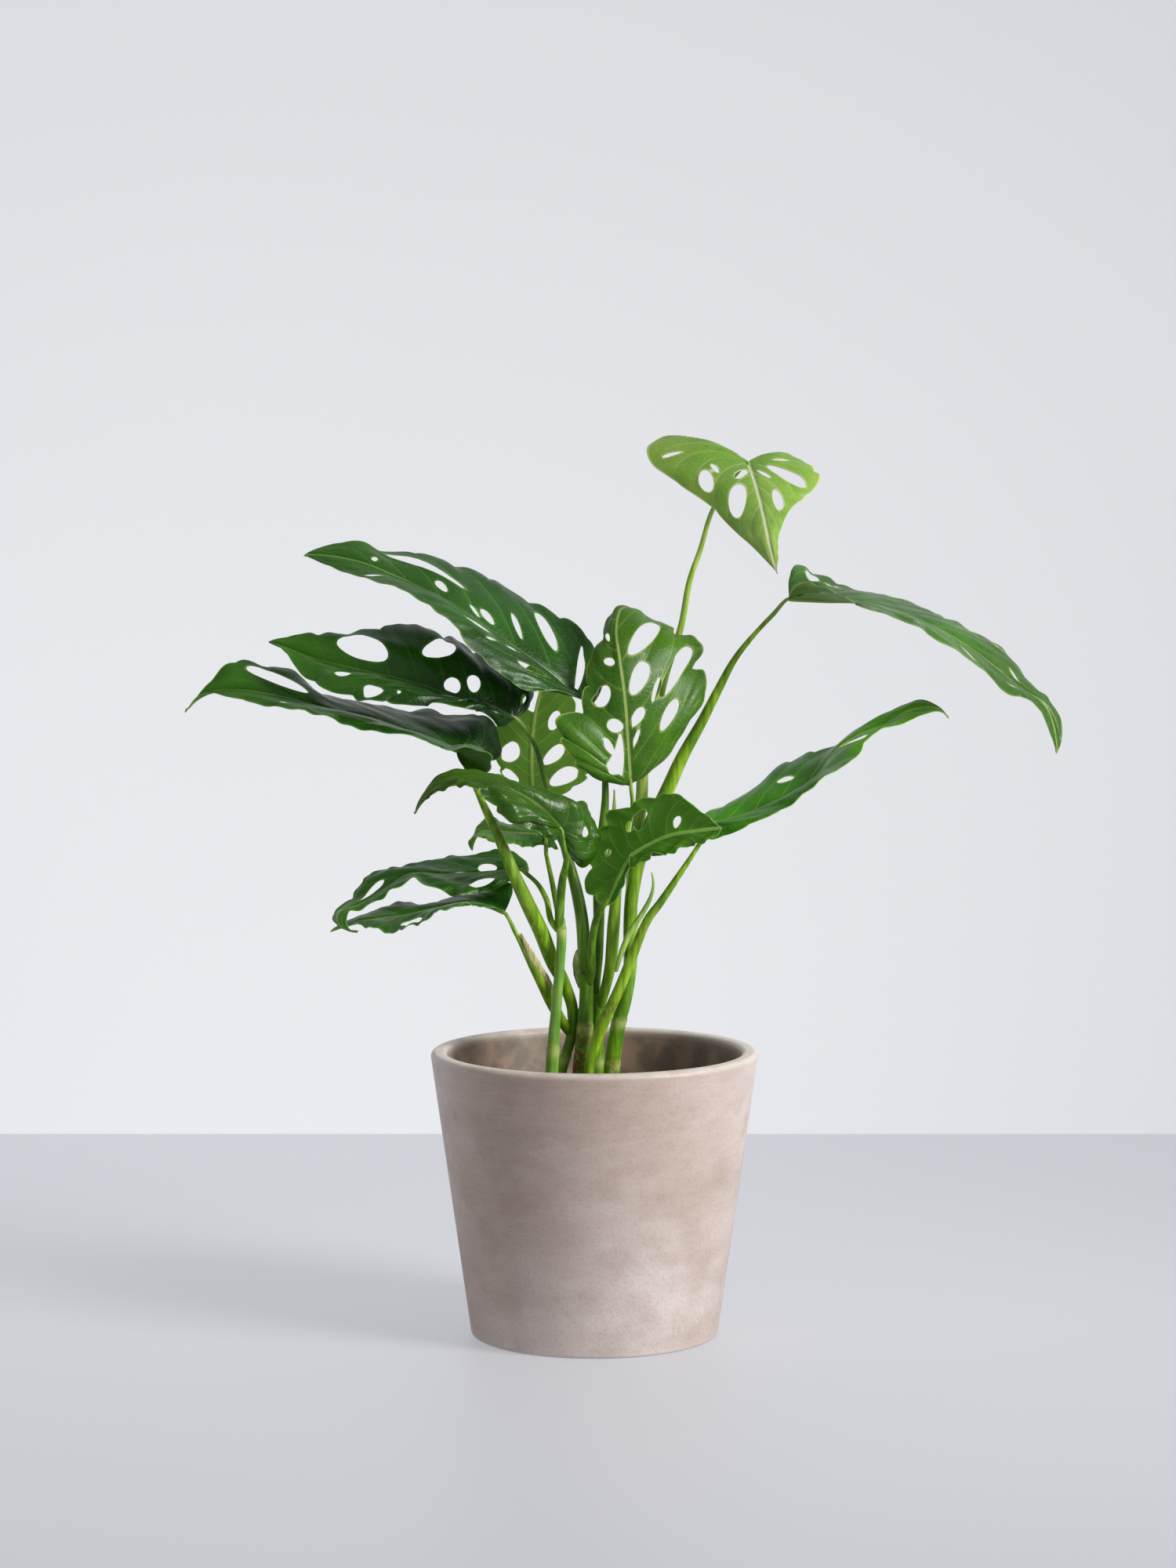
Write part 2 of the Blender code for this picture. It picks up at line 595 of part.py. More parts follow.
def blade_net(surface):
    """The t and the s of a blade's points, and its triangles, with its holes left out.

    The blade is triangulated in the plane (t, s * sqrt(t (1 - t))), which draws both ends to a point. The
    midrib is a line of edges, so that no triangle spans the notch between the basal lobes.
    """
    steps = np.linspace(0, 1, MARGIN_STEPS + 1)[1:-1]
    ones = np.ones_like(steps)
    rim = np.concatenate([
        [(0.0, 0.0)], np.stack([steps, -ones], -1), [(1.0, 0.0)], np.stack([steps, ones], -1)[::-1],
    ])
    holes = [
        surface.hole(side, *hole)
        for side, listed in ((1, surface.blade.left_holes), (-1, surface.blade.right_holes))
        for hole in listed
        if hole[-1] >= SMALLEST_HOLE
    ]
    inner = steps[steps > surface.blade.fan]
    middle = np.stack([inner, np.zeros_like(inner)], -1)
    halves = [np.stack([steps, side * 0.5 * ones], -1) for side in (1, -1)]
    free = np.concatenate([middle, *halves])
    for outline in holes:
        centre = outline.mean(axis=0)
        reach = np.abs(outline - centre).max(axis=0)
        free = free[(np.abs((free - centre) / reach).max(axis=1) > 1.1) | (free[:, 1] == 0)]
    loops = [rim, *holes]
    starts = np.cumsum([0, *(len(loop) for loop in loops)])
    net = np.concatenate([*loops, free])
    faces = [list(range(a, b)) for a, b in zip(starts, starts[1:])]
    rib = [0, *range(starts[-1], starts[-1] + len(middle)), len(steps) + 1]
    flat = np.stack([net[:, 0], net[:, 1] * np.sqrt(net[:, 0] * (1 - net[:, 0]))], axis=-1)
    out = delaunay_2d_cdt(flat.tolist(), list(zip(rib, rib[1:])), faces, 1, 1e-7)
    kept = [face for face, inside in zip(out[2], out[5]) if set(inside) == {0}]
    t, y = np.array(out[0]).T
    half = np.sqrt(np.clip(t * (1 - t), 1e-12, None))
    return t, np.clip(y / half, -1, 1), kept


def make_blade(name, blade, collection):
    """A leaf blade. It is a sheet from its midrib out to two free margins, which no primitive gives."""
    surface = BladeSurface(blade)
    t, s, faces = blade_net(surface)
    mesh = bpy.data.meshes.new(name)
    mesh.from_pydata((surface.point(t, s) * MM).tolist(), [], faces)
    shape = bmesh.new()
    shape.from_mesh(mesh)
    bmesh.ops.delete(shape, geom=[v for v in shape.verts if not v.link_faces], context="VERTS")
    bmesh.ops.recalc_face_normals(shape, faces=shape.faces)
    shape.to_mesh(mesh)
    shape.free()
    mesh.shade_smooth()
    colour = BLADE_COLOURS.get(name.removesuffix("_leaf"), BLADE_GREEN)
    obj = add_object(name, mesh, collection, principled(name, colour, 0.4, 0.1))
    sheet = obj.modifiers.new("Thickness", "SOLIDIFY")
    sheet.thickness = BLADE_THICKNESS * MM
    sheet.offset = 0.0
    return obj


def make_stem(name, route, radii, collection, material):
    """A round stem along a smooth route, whose radius runs through the given values."""
    length = smooth_curve(route, 2)[1]
    count = max(4, round(length / STALK_STEP))
    points = smooth_curve(route, count)[0]
    widths = np.interp(np.linspace(0, 1, count), np.linspace(0, 1, len(radii)), radii)
    curve = bpy.data.curves.new(name, "CURVE")
    curve.dimensions = "3D"
    curve.bevel_depth = MM
    curve.bevel_resolution = STALK_BEVEL_RESOLUTION
    curve.use_fill_caps = True
    spline = curve.splines.new("POLY")
    spline.points.add(count - 1)
    for knot, place, radius in zip(spline.points, points * MM, widths):
        knot.co = (*place, 1.0)
        knot.radius = radius
    spline.use_smooth = True
    return add_object(name, curve, collection, material)


def turned(name, profile, collection, material):
    """A turned solid. Its profile of (radius, height) runs from the axis down its outer side to the axis."""
    mesh = bpy.data.meshes.new(name)
    points = [(radius * MM, 0.0, height * MM) for radius, height in profile]
    mesh.from_pydata(points, [(i, i + 1) for i in range(len(points) - 1)], [])
    obj = add_object(name, mesh, collection, material)
    screw = obj.modifiers.new("Turn", "SCREW")
    screw.steps = screw.render_steps = TURN_STEPS
    screw.use_merge_vertices = True
    screw.merge_threshold = 1e-5
    screw.use_smooth_shade = True
    return obj


def arc(centre, radius, start, end, steps):
    """Points of a circular arc in (radius, height), with its angles in degrees."""
    turn = np.radians(np.linspace(start, end, steps + 1))
    return [(centre[0] + radius * math.cos(a), centre[1] + radius * math.sin(a)) for a in turn]


def inner_radius(height):
    """The planter's inner radius at a height: straight from its floor up to its rim."""
    floor_radius = BASE_RADIUS + (RIM_RADIUS - BASE_RADIUS) * FLOOR / HEIGHT - WALL
    return np.interp(height, (FLOOR, HEIGHT), (floor_radius, RIM_RADIUS - WALL))


def make_planter(collection):
    """The planter: a cone with a rounded lip, a solid flat underside and an open top."""
    lean = math.degrees(math.atan2(RIM_RADIUS - BASE_RADIUS, HEIGHT))
    floor_radius = inner_radius(FLOOR)
    profile = [(0.0, FLOOR), (floor_radius - BASE_ROUND, FLOOR), (floor_radius, FLOOR + BASE_ROUND)]
    profile += arc((inner_radius(HEIGHT) + RIM_ROUND, HEIGHT - RIM_ROUND), RIM_ROUND, 180 - lean, 90, 4)
    profile += arc((RIM_RADIUS - RIM_ROUND, HEIGHT - RIM_ROUND), RIM_ROUND, 90, -lean, 4)
    profile += arc((BASE_RADIUS - BASE_ROUND, BASE_ROUND), BASE_ROUND, -lean, -90, 3)
    profile += [(0.0, 0.0)]
    return turned("planter_pot", profile, collection, principled("planter", PLANTER_TAUPE, 0.7))


def make_soil(collection, cutters):
    """The soil. It fills the planter from its floor, crowns a little and has a bore for each rooted stem."""
    low, edge = FLOOR + BASE_ROUND + GAP, SOIL_TOP - SOIL_CROWN
    profile = [
        (0.0, SOIL_TOP), (0.5 * inner_radius(edge), SOIL_TOP - 0.2 * SOIL_CROWN),
        (inner_radius(edge) - 2 * GAP, edge), (inner_radius(low) - 2 * GAP, low),
        (inner_radius(FLOOR) - BASE_ROUND, FLOOR + GAP), (0.0, FLOOR + GAP),
    ]
    soil = turned("potting_soil", profile, collection, principled("soil", SOIL_BROWN, 0.95))
    for name, (route, radii) in ROOTED.items():
        cutter = make_bore(name, route[0], radii[0], cutters)
        bore = soil.modifiers.new(f"Bore {name}", "BOOLEAN")
        bore.operation = "DIFFERENCE"
        bore.object = cutter
    return soil


def make_bore(name, foot, radius, cutters):
    """A hidden upright cylinder that cuts a stem's bore into the soil."""
    depth = ROOT_DEPTH + GAP + 2 * SOIL_CROWN
    shape = bmesh.new()
    bmesh.ops.create_cone(
        shape, cap_ends=True, segments=BORE_SIDES, depth=depth * MM,
        radius1=(radius + BORE_SLACK) * MM, radius2=(radius + BORE_SLACK) * MM,
    )
    mesh = bpy.data.meshes.new(f"{name}_bore")
    shape.to_mesh(mesh)
    shape.free()
    obj = add_object(f"{name}_bore", mesh, cutters)
    bottom = SOIL_TOP - ROOT_DEPTH - GAP
    obj.location = (foot[0] * MM, foot[1] * MM, (bottom + depth / 2) * MM)
    obj.hide_render = True
    obj.display_type = "WIRE"
    return obj


def main():
    """Build the plant from the planter up."""
    clear_scene()
    plant = new_collection("potted_monstera")
    cutters = new_collection("cutters")
    make_planter(plant)
    make_soil(plant, cutters)
    stalk_material = principled("stalk", STALK_GREEN, 0.45, 0.1)
    cane_material = principled("cane", CANE_GREEN, 0.5, 0.1)
    sheath_material = principled("dry_sheath", SHEATH_TAN, 0.8)
    for name, (route, radii) in ROOTED.items():
        x, y, _ = route[0]
        buried = ((x, y, SOIL_TOP - ROOT_DEPTH), (x, y, SOIL_TOP - ROOT_DEPTH / 2), *route)
        make_stem(name, buried, radii, plant, cane_material if name.startswith("cane") else stalk_material)
    for name, (route, radii) in STALKS.items():
        make_stem(name, route, radii, plant, sheath_material if name.endswith("sheath") else stalk_material)
    for name, blade in BLADES.items():
        make_blade(f"{name}_leaf", blade, plant)


if __name__ == "__main__":
    main()
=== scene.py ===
"""A Swiss-cheese plant (Monstera adansonii) in a tapered planter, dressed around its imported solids.

The planter is a turned wall of filled plastic with a brushed stone look. A bed of bark and peat fills it,
and six stems rise from the bed. Each leaf is a stalk, swept along a curve, and a holed blade, lofted from
its midrib to its two margins. Lengths in the tables are in millimetres, in the frame's own axes, and MM
turns them into metres.
"""

import sys

import logging
import math
from collections.abc import Callable
from dataclasses import dataclass, field
from enum import Enum

import bpy
import numpy as np
from mathutils.geometry import delaunay_2d_cdt
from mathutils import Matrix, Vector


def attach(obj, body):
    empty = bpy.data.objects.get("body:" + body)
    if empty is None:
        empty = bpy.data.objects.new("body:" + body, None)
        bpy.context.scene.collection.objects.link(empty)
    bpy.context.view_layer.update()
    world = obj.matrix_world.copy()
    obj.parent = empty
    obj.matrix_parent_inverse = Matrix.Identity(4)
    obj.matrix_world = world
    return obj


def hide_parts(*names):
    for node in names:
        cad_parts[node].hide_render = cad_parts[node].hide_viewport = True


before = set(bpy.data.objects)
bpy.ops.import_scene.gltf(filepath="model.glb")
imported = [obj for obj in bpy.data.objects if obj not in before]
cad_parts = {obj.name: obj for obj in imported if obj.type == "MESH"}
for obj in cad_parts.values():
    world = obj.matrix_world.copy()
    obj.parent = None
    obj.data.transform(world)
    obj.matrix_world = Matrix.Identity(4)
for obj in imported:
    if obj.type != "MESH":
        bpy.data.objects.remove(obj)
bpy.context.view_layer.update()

LOG = logging.getLogger("monstera")
MM = 0.001
BODY = "root"
Array = np.ndarray
Colour = tuple[float, float, float, float]
Socket = bpy.types.NodeSocket
Point = tuple[float, float, float]
Route = tuple[Point, ...]
# Takes the fraction along a stem, the angle round it and the points
Section = Callable[[Array, Array, Array], Array]
Marks = Callable[[Array, Array, Array], dict[str, Array]]

# The soil's level, in mm above the table
LEVEL = 140.0
# Holes narrower than this, in mm, are too fine to cut
SMALLEST_HOLE = 2.0
# Holes at least this wide, in mm, lie between two veins and set where those run
VEIN_HOLE = 3.0


@dataclass(frozen=True)
class Outline:
    """One blade's design. Left and right are as seen on its upper face with the tip away from the viewer.

    The midrib runs from the stalk to the tip. Each margin also does, round its basal lobe, and leaves out
    those two ends. A hole is an ellipse between two points of its half of the blade, and its last number is
    its width. Such a point is a fraction of the margin's length and a fraction of the way from the midrib to
    the margin. The veins of the first `fan` of the margin all start at the stalk. `cup` is the rise of the
    left and the right half between midrib and margin, over its width.
    """

    midrib: Route
    left: Route
    right: Route
    left_holes: tuple[tuple[float, ...], ...] = ()
    right_holes: tuple[tuple[float, ...], ...] = ()
    fan: float = 0.22
    cup: tuple[float, float] = (0.08, 0.08)


OUTLINES = {
    "crown": Outline(
        midrib=(
            (93, 8, 533), (96, -10, 523), (100, -36, 505), (103, -60, 487), (107, -80, 469),
        ),
        left=(
            (103, 18, 536), (118, 24, 538), (131, 18, 532), (136, 6, 524), (131, -8, 515),
            (119, -24, 507), (111, -44, 495), (108, -64, 482),
        ),
        right=(
            (86, 18, 537), (73, 26, 540), (58, 32, 543), (45, 36, 549), (33, 32, 545), (33, 20, 535),
            (46, 4, 523), (67, -14, 509), (82, -36, 494), (96, -60, 481),
        ),
        left_holes=(
            (0.48, 0.10, 0.51, 0.32, 3), (0.43, 0.27, 0.47, 0.87, 10), (0.57, 0.48, 0.67, 0.70, 7),
            (0.30, 0.35, 0.28, 0.69, 3),
        ),
        right_holes=(
            (0.39, 0.86, 0.37, 0.64, 3), (0.49, 0.57, 0.59, 0.76, 8.5), (0.46, 0.43, 0.51, 0.43, 3),
            (0.44, 0.32, 0.46, 0.28, 1.5), (0.49, 0.04, 0.55, 0.26, 5.5), (0.58, 0.25, 0.73, 0.65, 11),
        ),
        fan=0.42,
    ),
    "arching": Outline(
        midrib=(
            (118, 0, 451), (139, 0, 450), (162, 0, 449), (186, 0, 442), (210, 0, 432), (240, 0, 412),
            (258, 0, 397), (273, 0, 387), (279, 0, 374), (281, -2, 357),
        ),
        left=(
            (119, 14, 464), (123, 26, 471), (139, 38, 465), (155, 44, 456), (173, 46, 452),
            (201, 45, 443), (230, 40, 431), (248, 32, 420), (264, 22, 403), (277, 10, 389),
            (284, 4, 374),
        ),
        right=(
            (120, -12, 458), (127, -24, 462), (137, -34, 459), (150, -40, 453), (164, -42, 447),
            (184, -42, 439), (207, -40, 427), (231, -32, 410), (251, -20, 394), (265, -12, 389),
            (275, -6, 372),
        ),
        left_holes=(
            (0.33, 0.62, 0.38, 0.84, 2.9), (0.42, 0.60, 0.47, 0.82, 2.9), (0.52, 0.62, 0.56, 0.84, 2.9),
            (0.60, 0.55, 0.63, 0.74, 2.9),
            (0.18, 0.70, 0.22, 0.80, 9), (0.25, 0.70, 0.29, 0.74, 5.5), (0.68, 0.70, 0.72, 0.90, 3.5),
            (0.76, 0.45, 0.81, 0.22, 3.5),
        ),
        right_holes=(
            (0.30, 0.60, 0.35, 0.82, 2.9), (0.41, 0.62, 0.46, 0.84, 2.9), (0.51, 0.58, 0.55, 0.80, 2.9),
            (0.61, 0.60, 0.65, 0.80, 2.9),
            (0.76, 0.67, 0.80, 0.58, 2), (0.23, 0.59, 0.24, 0.70, 2),
        ),
        cup=(0.05, 0.05),
    ),
    "twisted": Outline(
        midrib=(
            (70, -14, 315), (95, -10, 322), (115, -8, 331), (132, -4, 341), (147, 4, 359),
            (160, 8, 367), (175, 10, 373), (194, 10, 383), (209, 8, 384), (216, 4, 378),
        ),
        left=(
            (67, -2, 320), (83, 10, 325), (96, 18, 333), (107, 22, 341), (116, 24, 348),
            (131, 26, 355), (147, 24, 360), (162, 22, 369), (177, 20, 379), (188, 18, 385),
            (198, 16, 389), (209, 10, 385),
        ),
        right=(
            (69, -24, 307), (81, -28, 310), (98, -32, 318), (115, -34, 327), (130, -34, 338),
            (144, -30, 347), (157, -22, 357), (166, -10, 366), (174, -4, 371), (186, -2, 375),
            (201, 0, 381), (210, 2, 382),
        ),
        left_holes=(
            (0.42, 0.44, 0.48, 0.34, 5),
        ),
        right_holes=(
            (0.67, 0.00, 0.72, 0.81, 6),
        ),
        cup=(0.06, 0.05),
    ),
    "upright": Outline(
        midrib=(
            (22, -8, 338), (20, -14, 368), (18, -16, 394), (15, -12, 415), (13, -2, 432),
            (16, 12, 444), (26, 28, 441),
        ),
        left=(
            (14, -8, 342), (5, -12, 346), (-7, -18, 347), (-17, -22, 360), (-24, -22, 378),
            (-9, -14, 390), (-5, -6, 410), (3, 0, 426), (8, 10, 438), (15, 20, 446),
        ),
        right=(
            (27, -4, 347), (37, 0, 358), (49, 4, 368), (62, 8, 380), (67, 10, 396), (68, 14, 411),
            (62, 18, 425), (49, 22, 433), (37, 26, 435), (31, 30, 440),
        ),
        left_holes=(
            (0.74, 0.23, 0.71, 0.62, 5), (0.78, 0.51, 0.79, 0.71, 2.5), (0.58, 0.09, 0.54, 0.46, 8),
            (0.47, 0.27, 0.48, 0.49, 5), (0.44, 0.12, 0.40, 0.35, 4), (0.62, 0.38, 0.58, 0.76, 14.5),
        ),
        right_holes=(
            (0.77, 0.12, 0.84, 0.71, 11.5), (0.67, 0.07, 0.73, 0.29, 10.5), (0.62, 0.37, 0.70, 0.86, 10.5),
            (0.62, 0.28, 0.67, 0.40, 4), (0.52, 0.36, 0.57, 0.58, 8), (0.59, 0.04, 0.62, 0.18, 6.5),
            (0.53, 0.04, 0.57, 0.12, 2.5), (0.48, 0.27, 0.48, 0.34, 1.5),
        ),
        fan=0.42,
    ),
    "long": Outline(
        midrib=(
            (-1, 4, 387), (-11, 2, 393), (-28, -2, 407), (-56, -2, 427), (-85, 0, 447), (-113, 4, 461),
            (-147, 8, 474), (-177, 12, 477),
        ),
        left=(
            (-8, -8, 390), (-22, -16, 396), (-42, -26, 397), (-58, -32, 408), (-74, -34, 422),
            (-88, -32, 440), (-105, -28, 451), (-124, -20, 460), (-141, -10, 464), (-157, 0, 469),
        ),
        right=(
            (5, 12, 400), (2, 20, 416), (-8, 28, 430), (-28, 34, 443), (-57, 38, 458), (-86, 36, 471),
            (-112, 30, 479), (-130, 26, 478), (-145, 20, 485), (-163, 16, 483),
        ),
        left_holes=(
            (0.84, 0.04, 0.82, 0.01, 1), (0.81, 0.87, 0.77, 0.56, 2.5), (0.55, 0.62, 0.50, 0.46, 5),
            (0.47, 0.66, 0.47, 0.48, 2.5), (0.46, 0.38, 0.45, 0.22, 2.5), (0.39, 0.53, 0.34, 0.30, 5),
        ),
        right_holes=(
            (0.84, 0.22, 0.84, 0.36, 4), (0.79, 0.80, 0.61, 0.43, 7.5), (0.69, 0.30, 0.67, 0.17, 5),
            (0.69, 0.00, 0.68, 0.00, 2.5), (0.61, 0.18, 0.59, 0.07, 2.5), (0.58, 0.21, 0.55, 0.10, 5),
            (0.48, 0.46, 0.47, 0.16, 4), (0.38, 0.81, 0.36, 0.33, 9), (0.24, 0.71, 0.31, 0.01, 5),
        ),
        fan=0.25, cup=(0.07, 0.07),
    ),
    "pierced": Outline(
        midrib=(
            (-49, 0, 379), (-75, -2, 387), (-104, -2, 398), (-132, 0, 405), (-166, 2, 413),
            (-198, 4, 425),
        ),
        left=(
            (-57, -6, 374), (-66, -14, 382), (-84, -22, 387), (-103, -26, 388), (-131, -28, 390),
            (-157, -24, 395), (-173, -18, 402), (-185, -8, 416),
        ),
        right=(
            (-42, 8, 382), (-37, 16, 391), (-43, 24, 403), (-57, 30, 410), (-76, 34, 419),
            (-96, 34, 430), (-115, 30, 434), (-134, 26, 433), (-157, 18, 429), (-178, 10, 429),
        ),
        left_holes=(
            (0.74, 0.64, 0.72, 0.45, 5.5), (0.61, 0.83, 0.57, 0.70, 11), (0.52, 0.74, 0.52, 0.69, 3),
        ),
        right_holes=(
            (0.80, 0.71, 0.67, 0.32, 19.5), (0.57, 0.40, 0.46, 0.77, 14), (0.51, 0.18, 0.48, 0.08, 10),
            (0.42, 0.37, 0.43, 0.14, 8.5), (0.15, 0.30, 0.16, 0.56, 3),
        ),
        fan=0.3, cup=(0.12, 0.12),
    ),
    "trailing": Outline(
        midrib=(
            (-84, 0, 359), (-104, -4, 367), (-132, -6, 378), (-161, -4, 384), (-180, -2, 389),
            (-199, 0, 393), (-218, 2, 395), (-236, 2, 393), (-249, 0, 382),
        ),
        left=(
            (-78, -10, 349), (-65, -18, 347), (-60, -24, 356), (-72, -28, 363), (-89, -30, 361),
            (-112, -30, 370), (-136, -30, 374), (-169, -26, 382), (-195, -18, 387), (-222, -8, 392),
            (-236, -2, 393),
        ),
        right=(
            (-73, 10, 354), (-60, 20, 352), (-57, 28, 364), (-66, 32, 377), (-79, 34, 379),
            (-96, 34, 380), (-125, 32, 382), (-153, 30, 388), (-170, 28, 391), (-180, 24, 402),
            (-193, 20, 408), (-210, 16, 412), (-224, 8, 411), (-235, 4, 399),
        ),
        left_holes=(
            (0.74, 0.74, 0.72, 0.70, 2.5), (0.55, 0.07, 0.51, 0.07, 1.5),
        ),
        right_holes=(
            (0.82, 0.73, 0.69, 0.31, 9), (0.37, 0.44, 0.36, 0.39, 1.5),
        ),
        fan=0.3, cup=(0.08, 0.06),
    ),
    "back": Outline(
        midrib=(
            (-38, 40, 330), (-39, 46, 354), (-37, 50, 375), (-32, 54, 397), (-26, 56, 412),
        ),
        left=(
            (-28, 40, 326), (-11, 42, 333), (-1, 44, 343), (-5, 46, 359), (-11, 50, 375),
            (-12, 54, 392), (-17, 56, 404),
        ),
        right=(
            (-47, 40, 333), (-56, 42, 338), (-61, 44, 351), (-61, 48, 368), (-58, 52, 386),
            (-50, 54, 399), (-37, 56, 409),
        ),
        left_holes=(
            (0.27, 0.36, 0.36, 0.77, 9.5), (0.40, 0.19, 0.50, 0.58, 8), (0.59, 0.38, 0.69, 0.56, 7),
        ),
        right_holes=(
            (0.38, 0.38, 0.39, 0.77, 13.5), (0.23, 0.42, 0.24, 0.91, 5.5), (0.68, 0.17, 0.81, 0.00, 13.5),
        ),
        cup=(-0.05, -0.05),
    ),
    "front": Outline(
        midrib=(
            (22, -30, 297), (33, -36, 305), (45, -43, 311), (59, -50, 314), (76, -58, 317),
        ),
        left=(
            (21, -34, 291), (30, -40, 295), (37, -44, 301), (44, -47, 299), (57, -52, 306),
            (67, -56, 308),
        ),
        right=(
            (18, -24, 281), (9, -18, 266), (-4, -12, 268), (-6, -10, 283), (-1, -12, 307),
            (8, -18, 323), (23, -26, 330), (39, -36, 336), (55, -46, 333), (67, -54, 324),
        ),
        right_holes=(
            (0.51, 0.53, 0.57, 0.62, 5), (0.71, 0.14, 0.77, 0.41, 5), (0.39, 0.67, 0.42, 0.69, 4),
            (0.54, 0.46, 0.66, 0.70, 9),
        ),
        fan=0.3, cup=(0.08, 0.1),
    ),
    "crumpled": Outline(
        midrib=(
            (-20, -38, 314), (-30, -44, 326), (-44, -48, 336), (-60, -50, 342), (-79, -50, 343),
            (-95, -48, 339), (-108, -44, 324),
        ),
        left=(
            (-27, -46, 310), (-37, -54, 315), (-51, -60, 322), (-62, -62, 330), (-71, -62, 340),
            (-83, -58, 342), (-97, -50, 336),
        ),
        right=(
            (-16, -32, 298), (-8, -26, 290), (1, -22, 296), (2, -22, 316), (-6, -26, 329),
            (-20, -30, 332), (-37, -34, 337), (-56, -38, 346), (-74, -38, 350), (-92, -38, 346),
            (-103, -40, 334),
        ),
        right_holes=(
            (0.26, 0.41, 0.31, 0.58, 5),
        ),
        fan=0.3, cup=(0.15, 0.18),
    ),
    "hooked": Outline(
        midrib=(
            (-46, 0, 286), (-66, 0, 284), (-90, 0, 283), (-112, 2, 283), (-128, 0, 274),
            (-145, -4, 264), (-156, -10, 261), (-156, -16, 256), (-151, -18, 251), (-143, -18, 250),
        ),
        left=(
            (-50, -8, 281), (-62, -18, 275), (-76, -24, 273), (-89, -24, 272), (-101, -20, 278),
            (-111, -14, 282), (-121, -12, 275), (-130, -12, 269), (-141, -12, 264), (-148, -14, 262),
            (-150, -18, 256), (-148, -18, 251),
        ),
        right=(
            (-40, 6, 284), (-41, 12, 289), (-50, 18, 294), (-67, 22, 294), (-86, 24, 293),
            (-103, 24, 288), (-117, 22, 285), (-134, 20, 284), (-143, 16, 278), (-148, 10, 266),
            (-158, 2, 261), (-160, -6, 256), (-154, -14, 252),
        ),
        left_holes=(
            (0.33, 0.71, 0.26, 0.47, 6),
        ),
        right_holes=(
            (0.36, 0.18, 0.30, 0.10, 7.5), (0.47, 0.00, 0.41, 0.00, 4), (0.55, 0.24, 0.52, 0.29, 1),
            (0.78, 0.29, 0.67, 0.32, 5),
        ),
        cup=(0.06, 0.06),
    ),
    "slender": Outline(
        midrib=(
            (-55, -20, 262), (-75, -18, 268), (-94, -16, 265), (-113, -14, 260), (-133, -12, 257),
            (-147, -10, 254), (-161, -6, 249),
        ),
        left=(
            (-63, -30, 266), (-77, -38, 269), (-91, -42, 266), (-103, -44, 260), (-117, -42, 253),
            (-129, -36, 252), (-140, -26, 255), (-149, -16, 254),
        ),
        right=(
            (-51, -12, 269), (-51, -4, 277), (-61, 2, 278), (-81, 6, 269), (-100, 8, 264),
            (-119, 8, 264), (-136, 6, 260), (-148, 2, 255),
        ),
        left_holes=(
            (0.60, 0.70, 0.48, 0.80, 9),
        ),
        cup=(0.05, 0.05),
    ),
    "small": Outline(
        midrib=(
            (-32, 30, 305), (-45, 32, 305), (-60, 34, 306), (-71, 35, 305), (-76, 36, 294),
        ),
        left=(
            (-22, 26, 296), (-33, 20, 298), (-50, 18, 299), (-63, 20, 301), (-73, 26, 303),
            (-78, 32, 300),
        ),
        right=(
            (-24, 36, 300), (-22, 42, 306), (-33, 46, 310), (-53, 48, 310), (-66, 46, 313),
            (-73, 42, 308),
        ),
        cup=(0.05, 0.05),
    ),
}

# Stems rooted in the soil: each route from below the soil upwards, and radii spread evenly along it
CANES = {
    "cane_front": (
        ((-27, -16, 134), (-26, -17, 164), (-25, -18, 182), (-23, -18, 206), (-21, -18, 230),
         (-20, -18, 248), (-21, -18, 257)),
        (4.1, 4.1, 3.9, 3.3, 3.0, 2.9, 3.1),
    ),
    "cane_left": (
        ((-22, -2, 134), (-20.5, -1, 161), (-17.5, 0, 172), (-14, 2, 184), (-13, 3, 193), (-13, 3, 199)),
        (3.4, 3.4, 3.4, 3.4, 3.6),
    ),
    "cane_centre": (
        ((-8.5, -6, 134), (-8, -6, 161), (-6.5, -5, 180), (-5.5, -4, 196), (-5, -3, 212), (-5, -2, 220)),
        (6.0, 5.8, 5.5, 5.1, 4.3, 4.2),
    ),
    "cane_middle": (
        ((2, 4, 134), (2, 4, 160), (2, 3, 179), (2.5, 3, 198), (2.5, 3, 208)),
        (3.9, 3.8, 3.6, 3.8),
    ),
    "cane_right": (
        ((10, 10, 134), (10.5, 8.5, 160), (12.5, 6.5, 178), (15, 5, 192), (18.5, 5, 205), (21.5, 7, 222),
         (22, 9, 235)),
        (5.0, 4.9, 4.8, 4.7, 4.3, 4.1, 4.3),
    ),
}
# The heights of the ring-like leaf scars on each stem
RINGS = {
    "cane_front": (178.0, 251.0), "cane_left": (170.0,), "cane_centre": (190.0,), "cane_middle": (168.0,),
    "cane_right": (165.0, 192.0),
}
# The height under which each stem is brown and corky
CORKY_BELOW = {
    "cane_front": 152.0, "cane_left": 152.0, "cane_centre": 198.0, "cane_middle": 152.0, "cane_right": 174.0,
}

